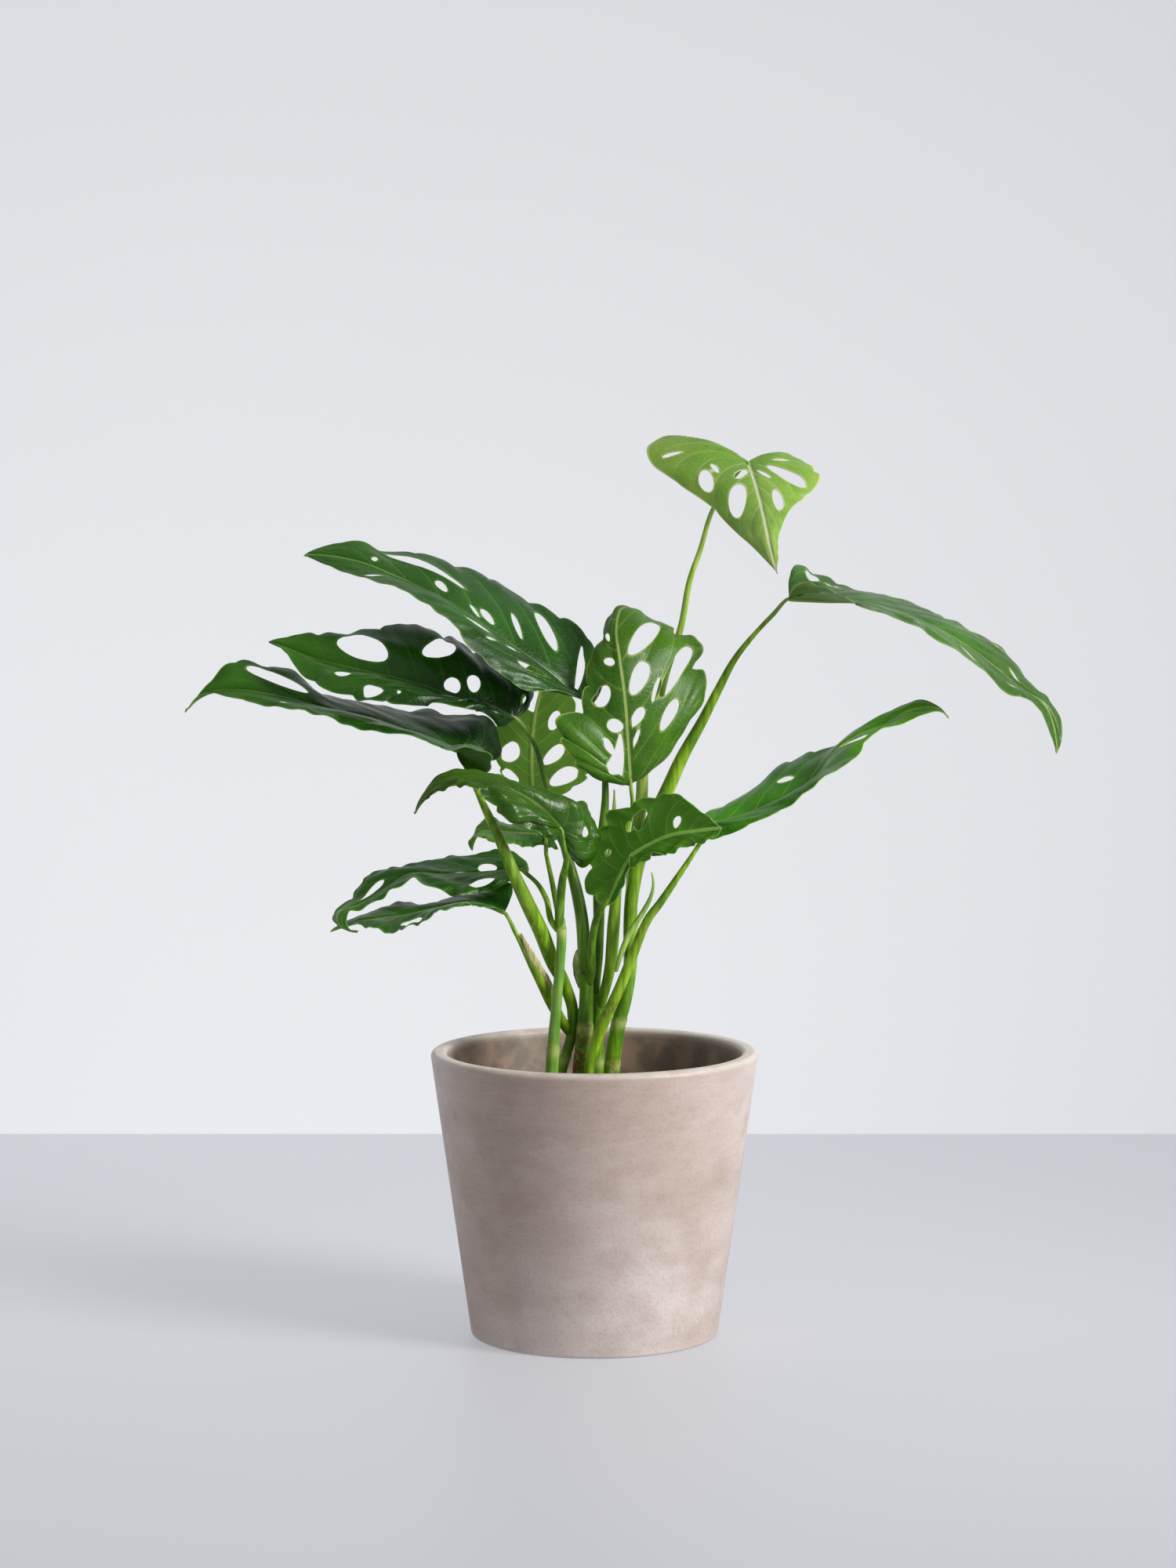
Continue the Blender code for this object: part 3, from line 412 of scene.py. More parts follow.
# Leaf stalks: each route upwards, and radii spread evenly along it
STALKS = {
    "crown": (
        ((23.5, 12.2, 236.6), (23, 15, 264), (25, 20, 298), (29, 24, 326), (30.5, 27, 355), (37, 29, 377),
         (44, 30, 404), (53, 31, 432), (58.5, 32, 461), (65, 32, 480), (71.5, 31, 502), (79.5, 28, 517),
         (87, 20, 527)),
        (3.4, 3.6, 3.6, 3.4, 2.9, 2.3, 2.0, 1.8, 1.5),
    ),
    "arching": (
        ((21.3, 4.2, 236.8), (22, 4, 261), (26, 8, 287), (33.5, 12, 310), (44, 15, 332), (53.5, 16, 353),
         (65.5, 15, 375), (75, 12, 394), (85.5, 8, 414), (97, 4, 429), (108, 1, 441)),
        (3.8, 4.4, 4.7, 4.5, 4.0, 3.3, 2.7, 1.9),
    ),
    "twisted": (
        ((-4, -17, 134), (-3.5, -17, 162), (-2, -17, 172), (1, -17, 183), (7, -18, 198), (14.5, -19, 214),
         (22.5, -20, 234), (32.5, -20, 258), (39.5, -20, 267.5), (48, -19, 280), (57.5, -17, 294),
         (64, -15, 304)),
        (3.2, 3.2, 3.3, 3.5, 3.4, 3.1, 2.7, 2.4, 1.9),
    ),
    "upright": (
        ((5.8, -0.8, 209.4), (9.5, -4.5, 226), (12, -7, 257), (14.5, -8, 284), (19.5, -8, 310),
         (23, -8, 326)),
        (3.0, 3.6, 3.7, 3.2, 2.6, 2.0),
    ),
    "long": (
        ((0.6, 5, 209.2), (2.2, 4.4, 236), (3, 6, 280), (5, 8, 308), (6.5, 9, 332), (5, 9, 356), (2, 7, 373)),
        (3.2, 3.2, 3.8, 4.0, 3.4, 2.4, 1.9),
    ),
    "pierced": (
        ((-6.2, 1.6, 221.6), (-7.5, 5, 253), (-11, 7, 272), (-15, 9, 287), (-21, 12, 308), (-26.5, 12, 326),
         (-31, 10, 342), (-35.5, 8, 359), (-41, 5, 369)),
        (3.7, 4.0, 3.9, 3.4, 2.7, 2.3, 2.0, 1.8),
    ),
    "trailing": (
        ((-13.4, 2.2, 200.9), (-18.6, -2.6, 217), (-25, -8, 230), (-32.5, -16, 250), (-41, -23, 269),
         (-49, -27, 287), (-55, -28, 302), (-61.5, -25, 316), (-68.5, -18, 330), (-77, -2, 346)),
        (3.4, 4.2, 4.5, 4.4, 4.0, 3.4, 2.8, 1.9),
    ),
    "back": (
        ((-7, 11.2, 236), (-10, 18, 266), (-14.5, 21, 285), (-22.5, 28, 304), (-31.5, 36, 320)),
        (2.2, 2.2, 2.0, 1.6),
    ),
    "front": (
        ((-2.4, -6.3, 221.4), (-1.5, -13, 243), (1.5, -20, 259), (8, -27, 272), (14.5, -31, 285.5)),
        (2.6, 2.4, 2.3, 2.1, 1.7),
    ),
    "crumpled": (
        ((-21.2, -19.4, 258.6), (-19.5, -27, 281), (-17, -38, 297), (-18.5, -41, 305)),
        (2.8, 2.6, 2.3, 1.8),
    ),
    "small": (
        ((-21.8, -13.2, 258.6), (-26.5, 2, 281), (-29.5, 13, 293)),
        (1.8, 1.7, 1.5, 1.3),
    ),
    "hooked": (
        ((-26.6, -15.6, 257.2), (-29, -12, 268), (-34, -8, 277), (-40, -4, 282.5)),
        (1.9, 1.8, 1.7, 1.4),
    ),
    "slender": (
        ((-18.6, -1.4, 191), (-25.5, -7.4, 204), (-32.5, -13, 219), (-40.5, -18, 235), (-48.5, -20, 251)),
        (3.2, 3.4, 3.3, 2.8, 1.9),
    ),
}
# Where each stalk leaves its stem, inside the stem
ROOTS = {
    "crown": (21.8, 8.5, 230.0), "arching": (21.8, 7.5, 229.0), "upright": (3.6, 1.8, 202.0),
    "long": (1.6, 3.8, 202.0), "pierced": (-5.2, -1.6, 214.0), "trailing": (-13.1, 2.8, 195.0),
    "back": (-6.4, 7.0, 226.0), "front": (-4.2, -3.6, 215.0), "crumpled": (-20.8, -18.2, 252.0),
    "small": (-20.8, -17.0, 252.0), "hooked": (-22.6, -17.4, 251.0), "slender": (-15.0, 1.4, 186.0),
}


# The wave of each blade's margin and its buckles in mm, the depth of its notches, and how many there are
ROUGHNESS = {
    "crown": (0.8, 0.6, 0.03, 6.0), "arching": (1.8, 1.0, 0.10, 13.0), "twisted": (1.4, 0.9, 0.08, 10.0),
    "upright": (2.0, 1.4, 0.15, 8.0), "long": (1.2, 0.9, 0.06, 10.0), "pierced": (1.8, 1.4, 0.12, 8.0),
    "trailing": (1.4, 0.9, 0.10, 12.0), "back": (1.0, 0.6, 0.12, 9.0), "front": (2.2, 1.8, 0.16, 8.0),
    "crumpled": (3.0, 2.6, 0.16, 8.0), "hooked": (1.6, 1.4, 0.12, 7.0), "slender": (1.4, 0.8, 0.10, 10.0),
    "small": (1.2, 0.8, 0.10, 8.0),
}
# Stalks in the shade of the leaves above them, which get a darker green as painted shade
SHADED_STALKS = ("long", "crumpled", "front", "pierced")


def linear(code: str) -> Colour:
    """Turn an sRGB hex colour such as "#3A5F0B" into linear RGBA."""
    parts = [int(code[i : i + 2], 16) / 255 for i in (1, 3, 5)]
    red, green, blue = (c / 12.92 if c <= 0.04045 else ((c + 0.055) / 1.055) ** 2.4 for c in parts)
    return red, green, blue, 1.0


def smooth_curve(points: Route, count: int) -> Array:
    """Read a cubic curve through the points at places evenly spaced along it.

    Each point's slope is the mean of its two neighbouring chords, weighted by the other chord's length to
    the power 0.75, and each piece of the curve is the cubic Hermite of its two ends.

    Args:
        points: the points that the curve passes through.
        count: how many places to read.

    Returns:
        An array of count points.
    """
    p = np.asarray(points, float)
    span = np.linalg.norm(np.diff(p, axis=0), axis=1) ** 0.75
    knots = np.concatenate([[0.0], np.cumsum(span)])
    chord = np.diff(p, axis=0) / span[:, None]
    slope = np.empty_like(p)
    before, after = span[:-1, None], span[1:, None]
    slope[1:-1] = (chord[:-1] * after + chord[1:] * before) / (before + after)
    slope[0] = 2 * chord[0] - slope[1]
    slope[-1] = 2 * chord[-1] - slope[-2]
    u = np.linspace(0.0, knots[-1], 1500)
    i = np.clip(np.searchsorted(knots, u, side="right") - 1, 0, len(span) - 1)
    w = ((u - knots[i]) / span[i])[:, None]
    reach = span[i][:, None]
    fine = (
        (2 * w**3 - 3 * w**2 + 1) * p[i]
        + (w**3 - 2 * w**2 + w) * reach * slope[i]
        + (3 * w**2 - 2 * w**3) * p[i + 1]
        + (w**3 - w**2) * reach * slope[i + 1]
    )
    along = np.concatenate([[0.0], np.cumsum(np.linalg.norm(np.diff(fine, axis=0), axis=1))])
    even = np.linspace(0.0, along[-1], count)
    return np.stack([np.interp(even, along, fine[:, k]) for k in range(3)], axis=-1)


def read_curve(curve: Array, fraction: Array) -> Array:
    """Read points of an evenly spaced curve, each on the straight line between its two nearest.

    Args:
        curve: the curve's points.
        fraction: where to read, from 0 at its start to 1 at its end.

    Returns:
        One point for each fraction.
    """
    place = np.clip(fraction, 0.0, 1.0) * (len(curve) - 1)
    first = np.minimum(place.astype(int), len(curve) - 2)
    rest = (place - first)[..., None]
    return curve[first] * (1 - rest) + curve[first + 1] * rest


def unit(vectors: Array) -> Array:
    """Scale vectors to length 1."""
    return vectors / np.maximum(np.linalg.norm(vectors, axis=-1, keepdims=True), 1e-12)


def bell(distance: Array, width: float) -> Array:
    """A bell curve: e to the minus square of distance over width."""
    return np.exp(-((distance / width) ** 2))


def wander(places: Array, seed: int, waves: int = 5) -> Array:
    """Smooth seeded wandering between about -1 and 1.

    It is a sum of sines, and the k-th is about k times as fast as the first and 1/k as high.

    Args:
        places: where to read it, in radians of its slowest wave.
        seed: the seed of its heights, pitches and shifts.
        waves: how many sines it adds.

    Returns:
        One number for each place.
    """
    random = np.random.default_rng(seed)
    total = np.zeros_like(places)
    for k in range(1, waves + 1):
        height, pitch, shift = random.normal(), random.uniform(0.8, 1.2), random.uniform(0, 6.3)
        total += height * np.sin(places * k * pitch + shift) / k
    return total / 1.6


def surface_normals(points: Array, triangles: Array) -> Array:
    """Unit normals at the points of a mesh: the sum of the area vectors of the triangles round each.

    Args:
        points: the mesh's vertices.
        triangles: the vertex numbers of its faces.

    Returns:
        One unit vector for each vertex.
    """
    corners = points[triangles]
    area = np.cross(corners[:, 1] - corners[:, 0], corners[:, 2] - corners[:, 0])
    total = np.zeros_like(points)
    for k in range(3):
        np.add.at(total, triangles[:, k], area)
    return unit(total)


def put_mesh(
    name: str, points: Array, faces: Array | list, values: dict[str, Array] | None = None,
    sharp: float = 50.0,
) -> bpy.types.Object:
    """Make an object of a mesh in millimetres, at the origin.

    Args:
        name: the piece's name.
        points: its vertices, in millimetres.
        faces: the vertex numbers of its faces.
        values: named arrays with one number per vertex, kept as attributes for the materials.
        sharp: the angle between faces, in degrees, past which an edge shades as a corner.

    Returns:
        The object, linked to the scene.
    """
    mesh = bpy.data.meshes.new(name)
    listed = faces.tolist() if isinstance(faces, np.ndarray) else faces
    mesh.from_pydata((points * MM).tolist(), [], listed)
    for key, numbers in (values or {}).items():
        layer = mesh.attributes.new(key, "FLOAT", "POINT")
        layer.data.foreach_set("value", np.ascontiguousarray(numbers, np.float32))
    mesh.shade_smooth()
    mesh.set_sharp_from_angle(angle=math.radians(sharp))
    obj = bpy.data.objects.new(name, mesh)
    bpy.context.scene.collection.objects.link(obj)
    return obj


def closed_faces(rows: int, columns: int) -> list[list[int]]:
    """The faces of a tube whose rows close on themselves, with a pole at each end.

    They are quads between the rows and fans round the poles, and they face away from the tube's axis when
    its rows run along it with their points turning to the right.

    Args:
        rows: how many rows the tube has.
        columns: how many points each row has.

    Returns:
        The vertex numbers of each face. The first pole comes after the last row, and then the last pole.
    """
    i, j = np.meshgrid(np.arange(rows - 1), np.arange(columns), indexing="ij")
    k = (j + 1) % columns
    below, above = i * columns, (i + 1) * columns
    quads = np.stack([below + j, below + k, above + k, above + j], -1).reshape(-1, 4)
    ring = np.arange(columns)
    after = (ring + 1) % columns
    pole, top = rows * columns, (rows - 1) * columns
    first = np.stack([np.full_like(ring, pole), after, ring], -1)
    last = np.stack([np.full_like(ring, pole + 1), ring + top, after + top], -1)
    return [*quads.tolist(), *first.tolist(), *last.tolist()]


def hand_over(
    piece: bpy.types.Object, slot: str, material: bpy.types.Material, *nodes: str
) -> None:
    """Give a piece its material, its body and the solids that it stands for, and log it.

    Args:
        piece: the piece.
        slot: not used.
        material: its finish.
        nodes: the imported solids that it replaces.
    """
    piece.data.materials.append(material)
    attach(piece, BODY)
    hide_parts(*nodes)
    LOG.info("%s: %d faces", piece.name, len(piece.data.polygons))


class Half(Enum):
    """The halves of a blade, as the sign of its crosswise coordinate."""

    LEFT = 1
    RIGHT = -1


@dataclass
class Blade:
    """A blade's surface: t runs along a margin, and s from its right edge (-1) to its left edge (1).

    The waves, the buckles, the quilting between the veins, the groove over the midrib and its keel underneath
    are heights in millimetres. Lobes and ragged are the number of notches in a margin and their depth, as a
    share of the half's width.
    """

    name: str
    outline: Outline
    rows: int = 144
    columns: int = 20
    hole_points: int = 28
    vein_pitch: float = 0.085
    quilt: float = 0.55
    wave: float = 0.7
    crumple: float = 0.5
    ragged: float = 0.05
    lobes: float = 9.0
    thickness: float = 0.5
    groove: float = 0.55
    keel: float = 1.1
    hole_reach: tuple[float, float] = (0.05, 0.94)
    steepest_vein: float = 0.18
    seed: int = 1
    midrib: Array = field(init=False)
    margins: dict[Half, Array] = field(init=False)
    leans: dict[Half, float] = field(init=False)

    def __post_init__(self) -> None:
        """Draw the three guiding curves."""
        o = self.outline
        ends = o.midrib[0], o.midrib[-1]
        self.midrib = smooth_curve(o.midrib, 401)
        self.margins = {
            Half.LEFT: smooth_curve((ends[0], *o.left, ends[1]), 401),
            Half.RIGHT: smooth_curve((ends[0], *o.right, ends[1]), 401),
        }
        self.leans = {half: self.lean(half) for half in Half}

    def holes(self, half: Half) -> tuple[tuple[float, ...], ...]:
        """The holes of one half."""
        listed = self.outline.left_holes if half is Half.LEFT else self.outline.right_holes
        return tuple(hole for hole in listed if hole[-1] >= SMALLEST_HOLE)

    def lean(self, half: Half) -> float:
        """How far along the margin a vein moves on its way out, from the median tilt of the holes.

        Args:
            half: the half of the blade.

        Returns:
            The change of t from midrib to margin.
        """
        tilts = [
            (end_t - start_t) / (end_s - start_s)
            for start_t, start_s, end_t, end_s, _ in self.holes(half)
            if abs(end_s - start_s) > 0.15
        ]
        if not tilts:
            return 0.06
        return float(np.clip(np.median(tilts), -self.steepest_vein, self.steepest_vein))

    def vein_point(self, t: Array, s: Array) -> Array:
        """A point on the straight line from midrib to margin, drawn in at the margin's notches.

        A notch is (1 - |sin(pi * count)|) to the power 1.5, where count wanders along the margin, and it
        draws a point in by that, times ragged, times s to the power 4.

        Args:
            t: the fractions along the margin.
            s: the crosswise coordinates.

        Returns:
            The points, in millimetres.
        """
        start = self.outline.fan
        inner = read_curve(self.midrib, np.clip((t - start) / (1 - start), 0, 1) ** 1.1)
        left, right = (read_curve(self.margins[half], t) for half in Half)
        count = self.lobes * t + 0.35 * wander(t * 7 + np.where(s >= 0, 5.0, 0.0), self.seed + 90)
        notch = (1 - np.abs(np.sin(math.pi * count))) ** 1.5 * np.sin(math.pi * t) ** 0.3
        out = np.abs(s) * (1 - self.ragged * notch * np.abs(s) ** 4)
        return inner + (np.where((s >= 0)[..., None], left, right) - inner) * out[..., None]

    def width(self, t: Array, s: Array) -> Array:
        """The length of the line from midrib to margin on the side of s."""
        side = np.where(s >= 0, 1.0, -1.0)
        return np.linalg.norm(self.vein_point(t, side) - self.vein_point(t, side * 0.0), axis=-1)

    def point(self, t: Array, s: Array) -> Array:
        """A point of the cupped blade: off the vein's line by cup * width * 4 |s| (1 - |s|).

        Args:
            t: the fractions along the margin.
            s: the crosswise coordinates.

        Returns:
            The points, in millimetres.
        """
        side = np.where(s >= 0, 1.0, -1.0)
        step = 0.01
        along = self.vein_point(np.clip(t + step, 0, 1), s) - self.vein_point(np.clip(t - step, 0, 1), s)
        across = (self.vein_point(t, side) - self.vein_point(t, side * 0.0)) * side[..., None]
        rise = np.where(s >= 0, *self.outline.cup) * self.width(t, s) * 4 * np.abs(s) * (1 - np.abs(s))
        return self.vein_point(t, s) + unit(np.cross(along, across)) * rise[..., None]

    def hole(
        self, half: Half, start_t: float, start_s: float, end_t: float, end_s: float, width: float
    ) -> Array:
        """A hole's outline in (t, s), counterclockwise, a little narrower towards the midrib.

        Its long axis joins the two given points. Its short axis is the direction in (t, s) that is square to
        it on the blade, by the inverse of the surface's slopes.

        Args:
            half: the half of the blade that it is in.
            start_t: t at its start.
            start_s: the size of s at its start.
            end_t: t at its end.
            end_s: the size of s at its end.
            width: its width in millimetres.

        Returns:
            Its points.
        """
        side = half.value
        centre = np.array([(start_t + end_t) / 2, (start_s + end_s) / 2])
        major = np.array([end_t - start_t, end_s - start_s]) / 2
        step = 0.01
        nearby = centre + step * np.array([(1, 0), (-1, 0), (0, 1), (0, -1)])
        around = self.point(nearby[:, 0], side * nearby[:, 1])
        slopes = np.stack([around[0] - around[1], around[2] - around[3]], axis=1) / (2 * step)
        crosswise = np.cross(np.cross(slopes[:, 0], slopes[:, 1]), slopes @ major)
        crosswise *= width / 2 / np.linalg.norm(crosswise)
        minor = np.linalg.pinv(slopes) @ crosswise
        minor *= np.sign(side * (major[0] * minor[1] - major[1] * minor[0]))
        turn = np.linspace(0, 2 * math.pi, self.hole_points, endpoint=False)[:, None]
        taper = 1 + 0.16 * np.cos(turn) * np.sign(major[1])
        outline = centre + major * np.cos(turn) + minor * np.sin(turn) * taper
        return np.stack([outline[:, 0], side * np.clip(outline[:, 1], *self.hole_reach)], axis=-1)

    def vein_phase(self, t: Array, s: Array) -> Array:
        """Count veins along the blade, so that each main hole lies midway between two of them.

        The count runs straight from one hole to the next, along a t that leans and curves with the veins.

        Args:
            t: the fractions along the margin.
            s: the crosswise coordinates.

        Returns:
            The count, which is whole on a vein.
        """
        phase = np.zeros_like(t)
        for half, first in ((Half.LEFT, 0.0), (Half.RIGHT, 40.0)):
            here = (s >= 0) if half is Half.LEFT else (s < 0)
            lean = self.leans[half]
            centres = sorted(
                (start_t + end_t) / 2 - lean * ((start_s + end_s) / 2 - 0.5)
                for start_t, start_s, end_t, end_s, width in self.holes(half)
                if width >= VEIN_HOLE
            )
            places, counts = [0.0], [0.0]
            for centre in centres:
                gap = centre - places[-1]
                if gap < 0.05:
                    continue
                half_vein = 0.5 if len(places) == 1 else 0.0
                counts.append(counts[-1] + max(1, round(gap / self.vein_pitch + half_vein)) - half_vein)
                places.append(centre)
            counts.append(counts[-1] + max(1, round((1 - places[-1]) / self.vein_pitch)))
            places.append(1.0)
            leaning = t - lean * (np.abs(s) - 0.5) - 0.05 * (s**2 - 0.33)
            phase = np.where(here, np.interp(leaning, places, counts) + first, phase)
        return phase

    def net(self) -> tuple[Array, Array, Array, Array]:
        """Fill the plane (t, s * sqrt(t (1 - t))) with points and triangles, leaving the holes out.

        Returns:
            t, s, the triangles, and which points lie on a free edge.
        """
        steps = (1 - np.cos(np.linspace(0.06, math.pi - 0.06, self.rows))) / 2
        steps = 0.75 * np.linspace(0, 1, self.rows + 2)[1:-1] + 0.25 * steps
        ones = np.ones_like(steps)
        rim = np.concatenate([
            [(0.0, 0.0)], np.stack([steps, -ones], -1), [(1.0, 0.0)], np.stack([steps, ones], -1)[::-1],
        ])
        holes = [self.hole(half, *hole) for half in Half for hole in self.holes(half)]
        inner = steps[steps > self.outline.fan]
        middle = np.stack([inner, np.zeros_like(inner)], -1)
        levels = (np.arange(1, self.columns) / self.columns) ** 1.15
        t, s = (a.ravel() for a in np.meshgrid(steps, levels, indexing="ij"))
        crowded = (s < 0.14) & (t < self.outline.fan)
        t, s = t[~crowded], s[~crowded]
        free = np.concatenate([np.stack([t, s], -1), np.stack([t, -s], -1)])
        for outline in holes:
            centre = outline.mean(axis=0)
            basis = np.stack([outline[0] - centre, outline[self.hole_points // 4] - centre], axis=1)
            local = (free - centre) @ np.linalg.inv(basis).T
            free = free[(np.linalg.norm(local, axis=1) > 1.22)]
        loops = [rim, *holes]
        starts = np.cumsum([0, *(len(loop) for loop in loops)])
        points = np.concatenate([*loops, middle, free])
        spans = zip(starts.tolist(), starts[1:].tolist())
        lines = [(i, i + 1 if i + 1 < end else start) for start, end in spans for i in range(start, end)]
        rib = [0, *range(starts[-1], starts[-1] + len(middle)), len(steps) + 1]
        flat = np.stack([points[:, 0], points[:, 1] * np.sqrt(points[:, 0] * (1 - points[:, 0]))], axis=-1)
        out = delaunay_2d_cdt(flat.tolist(), [*lines, *zip(rib, rib[1:])], [], 0, 1e-7)
        spread = np.array([tuple(v) for v in out[0]])
        kept = np.array(out[2])
        middles = spread[kept].mean(axis=1)
        for a, b in zip(starts[1:], starts[2:]):
            kept, middles = (part[~within(middles, flat[a:b])] for part in (kept, middles))
        used, kept = np.unique(kept, return_inverse=True)
        t, y = spread[used].T
        s = np.clip(y / np.sqrt(np.clip(t * (1 - t), 1e-12, None)), -1, 1)
        triangles = kept.reshape(-1, 3)
        return t, s, triangles, free_edges(triangles)

    def relief(self, t: Array, s: Array, phase: Array) -> Array:
        """Height off the cupped blade in millimetres.

        The blade swells between veins as |sin(pi * phase)| to the power 0.8, is grooved along the midrib,
        waves along its margin, and buckles by a product of two wandering sines.

        Args:
            t: the fractions along the margin.
            s: the crosswise coordinates.
            phase: the count of veins.

        Returns:
            The heights.
        """
        width = self.width(t, s)
        depth = self.quilt * np.clip(width / 42, 0.25, 1.1)
        swell = np.abs(np.sin(math.pi * phase)) ** 0.8 * (4 * np.abs(s) * (1 - np.abs(s))) ** 0.8
        groove = self.groove * bell(np.abs(s) * width, 1.3) * (t > self.outline.fan * 0.8)
        waves = np.where(s > 0, wander(t * 26, self.seed * 2 + 1), wander(t * 26, self.seed * 2))
        buckle = np.sin(t * 21 + 3 * s + wander(s * 4, self.seed + 30))
        buckle = buckle * np.sin(6 * s + wander(t * 9, self.seed + 60))
        fade = np.sin(math.pi * t) ** 0.5
        return (
            depth * swell - groove + self.wave * waves * np.abs(s) ** 3 * fade
            + self.crumple * buckle * np.sqrt(np.abs(s)) * fade
        )

    def build(self) -> bpy.types.Object:
        """Make the closed blade: its upper skin, its under skin with the midrib's keel, and its edges."""
        t, s, triangles, edge = self.net()
        phase = self.vein_phase(t, s)
        sheet = self.point(t, s)
        sheet = sheet + surface_normals(sheet, triangles) * self.relief(t, s, phase)[:, None]
        normal = surface_normals(sheet, triangles)
        from_rib = np.abs(s) * self.width(t, s) + 9.0 * (t < self.outline.fan * 0.8)
        along = np.clip((t - self.outline.fan) / (1 - self.outline.fan), 0, 1)
        keel = self.keel * bell(from_rib, 1.2) * (1 - 0.8 * along)
        upper = sheet + normal * self.thickness / 2
        under = sheet - normal * (self.thickness / 2 + keel)[:, None]
        count = len(t)
        rim = boundary(triangles)
        walls = np.stack([rim[:, 1], rim[:, 0], rim[:, 0] + count, rim[:, 1] + count], axis=-1)
        faces = [*triangles.tolist(), *(triangles[:, ::-1] + count).tolist(), *walls.tolist()]
        both = {
            "phase": phase, "across": np.abs(s), "from_rib": from_rib, "reach": t,
            "edge": edge.astype(float),
        }
        values = {key: np.concatenate([numbers, numbers]) for key, numbers in both.items()}
        values["upper"] = np.repeat([1.0, 0.0], count)
        return put_mesh(f"{self.name}_blade", np.concatenate([upper, under]), faces, values)


def within(points: Array, outline: Array) -> Array:
    """Which points lie inside a closed outline: a ray to their right crosses it an odd number of times.

    Args:
        points: the points, in the plane.
        outline: the outline's corners in order.

    Returns:
        True or False for each point.
    """
    a, b = outline, np.roll(outline, -1, axis=0)
    x, y = points[:, :1], points[:, 1:]
    level = (a[:, 1] > y) != (b[:, 1] > y)
    rise = np.where(b[:, 1] == a[:, 1], 1e-12, b[:, 1] - a[:, 1])
    return (level & (x < a[:, 0] + (y - a[:, 1]) * (b[:, 0] - a[:, 0]) / rise)).sum(axis=1) % 2 == 1


def boundary(triangles: Array) -> Array:
    """The directed edges of a sheet that only one triangle has."""
    ends = np.concatenate([triangles[:, [0, 1]], triangles[:, [1, 2]], triangles[:, [2, 0]]])
    _, first, count = np.unique(np.sort(ends, axis=1), axis=0, return_index=True, return_counts=True)
    return ends[first[count == 1]]


def free_edges(triangles: Array) -> Array:
    """Which points of a sheet lie on its boundary."""
    return np.isin(np.arange(triangles.max() + 1), boundary(triangles))


@dataclass
class Sweep:
    """A round, closed stem along a smooth curve, with a section that can change on its way."""

    route: Route
    radii: tuple[float, ...]
    step: float = 1.2
    sides: int = 28

    def rings(self) -> tuple[Array, Array, Array, Array]:
        """Place the rings evenly along the curve, with a dome of four more at each end.

        Returns:
            Their centres, unit vectors to the side and to the front, and radii.
        """
        rough = smooth_curve(self.route, 200)
        length = np.linalg.norm(np.diff(rough, axis=0), axis=1).sum()
        count = max(12, round(length / self.step))
        centres = smooth_curve(self.route, count)
        radii = np.interp(np.linspace(0, 1, count), np.linspace(0, 1, len(self.radii)), self.radii)
        tangent = unit(np.gradient(centres, axis=0))
        turn = np.radians([10, 30, 50, 70])[:, None]
        foot = centres[0] - tangent[0] * radii[0] * 0.6 * np.sin(turn)[::-1]
        head = centres[-1] + tangent[-1] * radii[-1] * 0.6 * np.sin(turn)
        radii = np.concatenate([radii[0] * np.cos(turn[::-1, 0]), radii, radii[-1] * np.cos(turn[:, 0])])
        tangent = np.concatenate([np.repeat(tangent[:1], 4, 0), tangent, np.repeat(tangent[-1:], 4, 0)])
        centres = np.concatenate([foot, centres, head])
        front = unit(np.array([0.0, -1.0, 0.0]) + tangent * tangent[:, 1:2])
        return centres, np.cross(front, tangent), front, radii

    def build(self, name: str, section: Section, values: Marks) -> bpy.types.Object:
        """Sweep the section along the curve.

        Args:
            name: the piece's name.
            section: takes the fraction along the stem, the angle round it and the points, as arrays, and
                gives what to multiply the radius by. Angle 0 is its front, and pi / 2 its right.
            values: takes the same and gives the attributes for the material.

        Returns:
            The object.
        """
        centres, side, front, radii = self.rings()
        rows = len(centres)
        along = np.repeat(np.linspace(0, 1, rows)[:, None], self.sides, axis=1)
        angle = np.repeat(np.linspace(-math.pi, math.pi, self.sides, endpoint=False)[None], rows, axis=0)
        out = front[:, None] * np.cos(angle)[..., None] + side[:, None] * np.sin(angle)[..., None]
        plain = centres[:, None] + out * radii[:, None, None]
        scale = section(along, angle, plain)
        points = centres[:, None] + out * (radii[:, None] * scale)[..., None]
        poles = np.stack([centres[0], centres[-1]])
        numbers = {
            key: np.concatenate([array.ravel(), (array[0, 0], array[-1, 0])])
            for key, array in values(along, angle, plain).items()
        }
        everything = np.concatenate([points.reshape(-1, 3), poles])
        return put_mesh(name, everything, closed_faces(rows, self.sides), numbers)


def node(
    tree: bpy.types.NodeTree, kind: str, inputs: dict[str | int, object] | None = None, **settings: object
) -> bpy.types.Node:
    """Add a node with its settings, and fill its inputs.

    Args:
        tree: the tree that takes it.
        kind: its type, without the ShaderNode that Blender's own name starts with.
        inputs: a number, a colour or another node's output for each input, by name or number.
        settings: its properties.

    Returns:
        The node.
    """
    made = tree.nodes.new(f"ShaderNode{kind}")
    for name, value in settings.items():
        setattr(made, name, value)
    for name, value in (inputs or {}).items():
        if isinstance(value, bpy.types.NodeSocket):
            tree.links.new(value, made.inputs[name])
        else:
            made.inputs[name].default_value = value
    return made


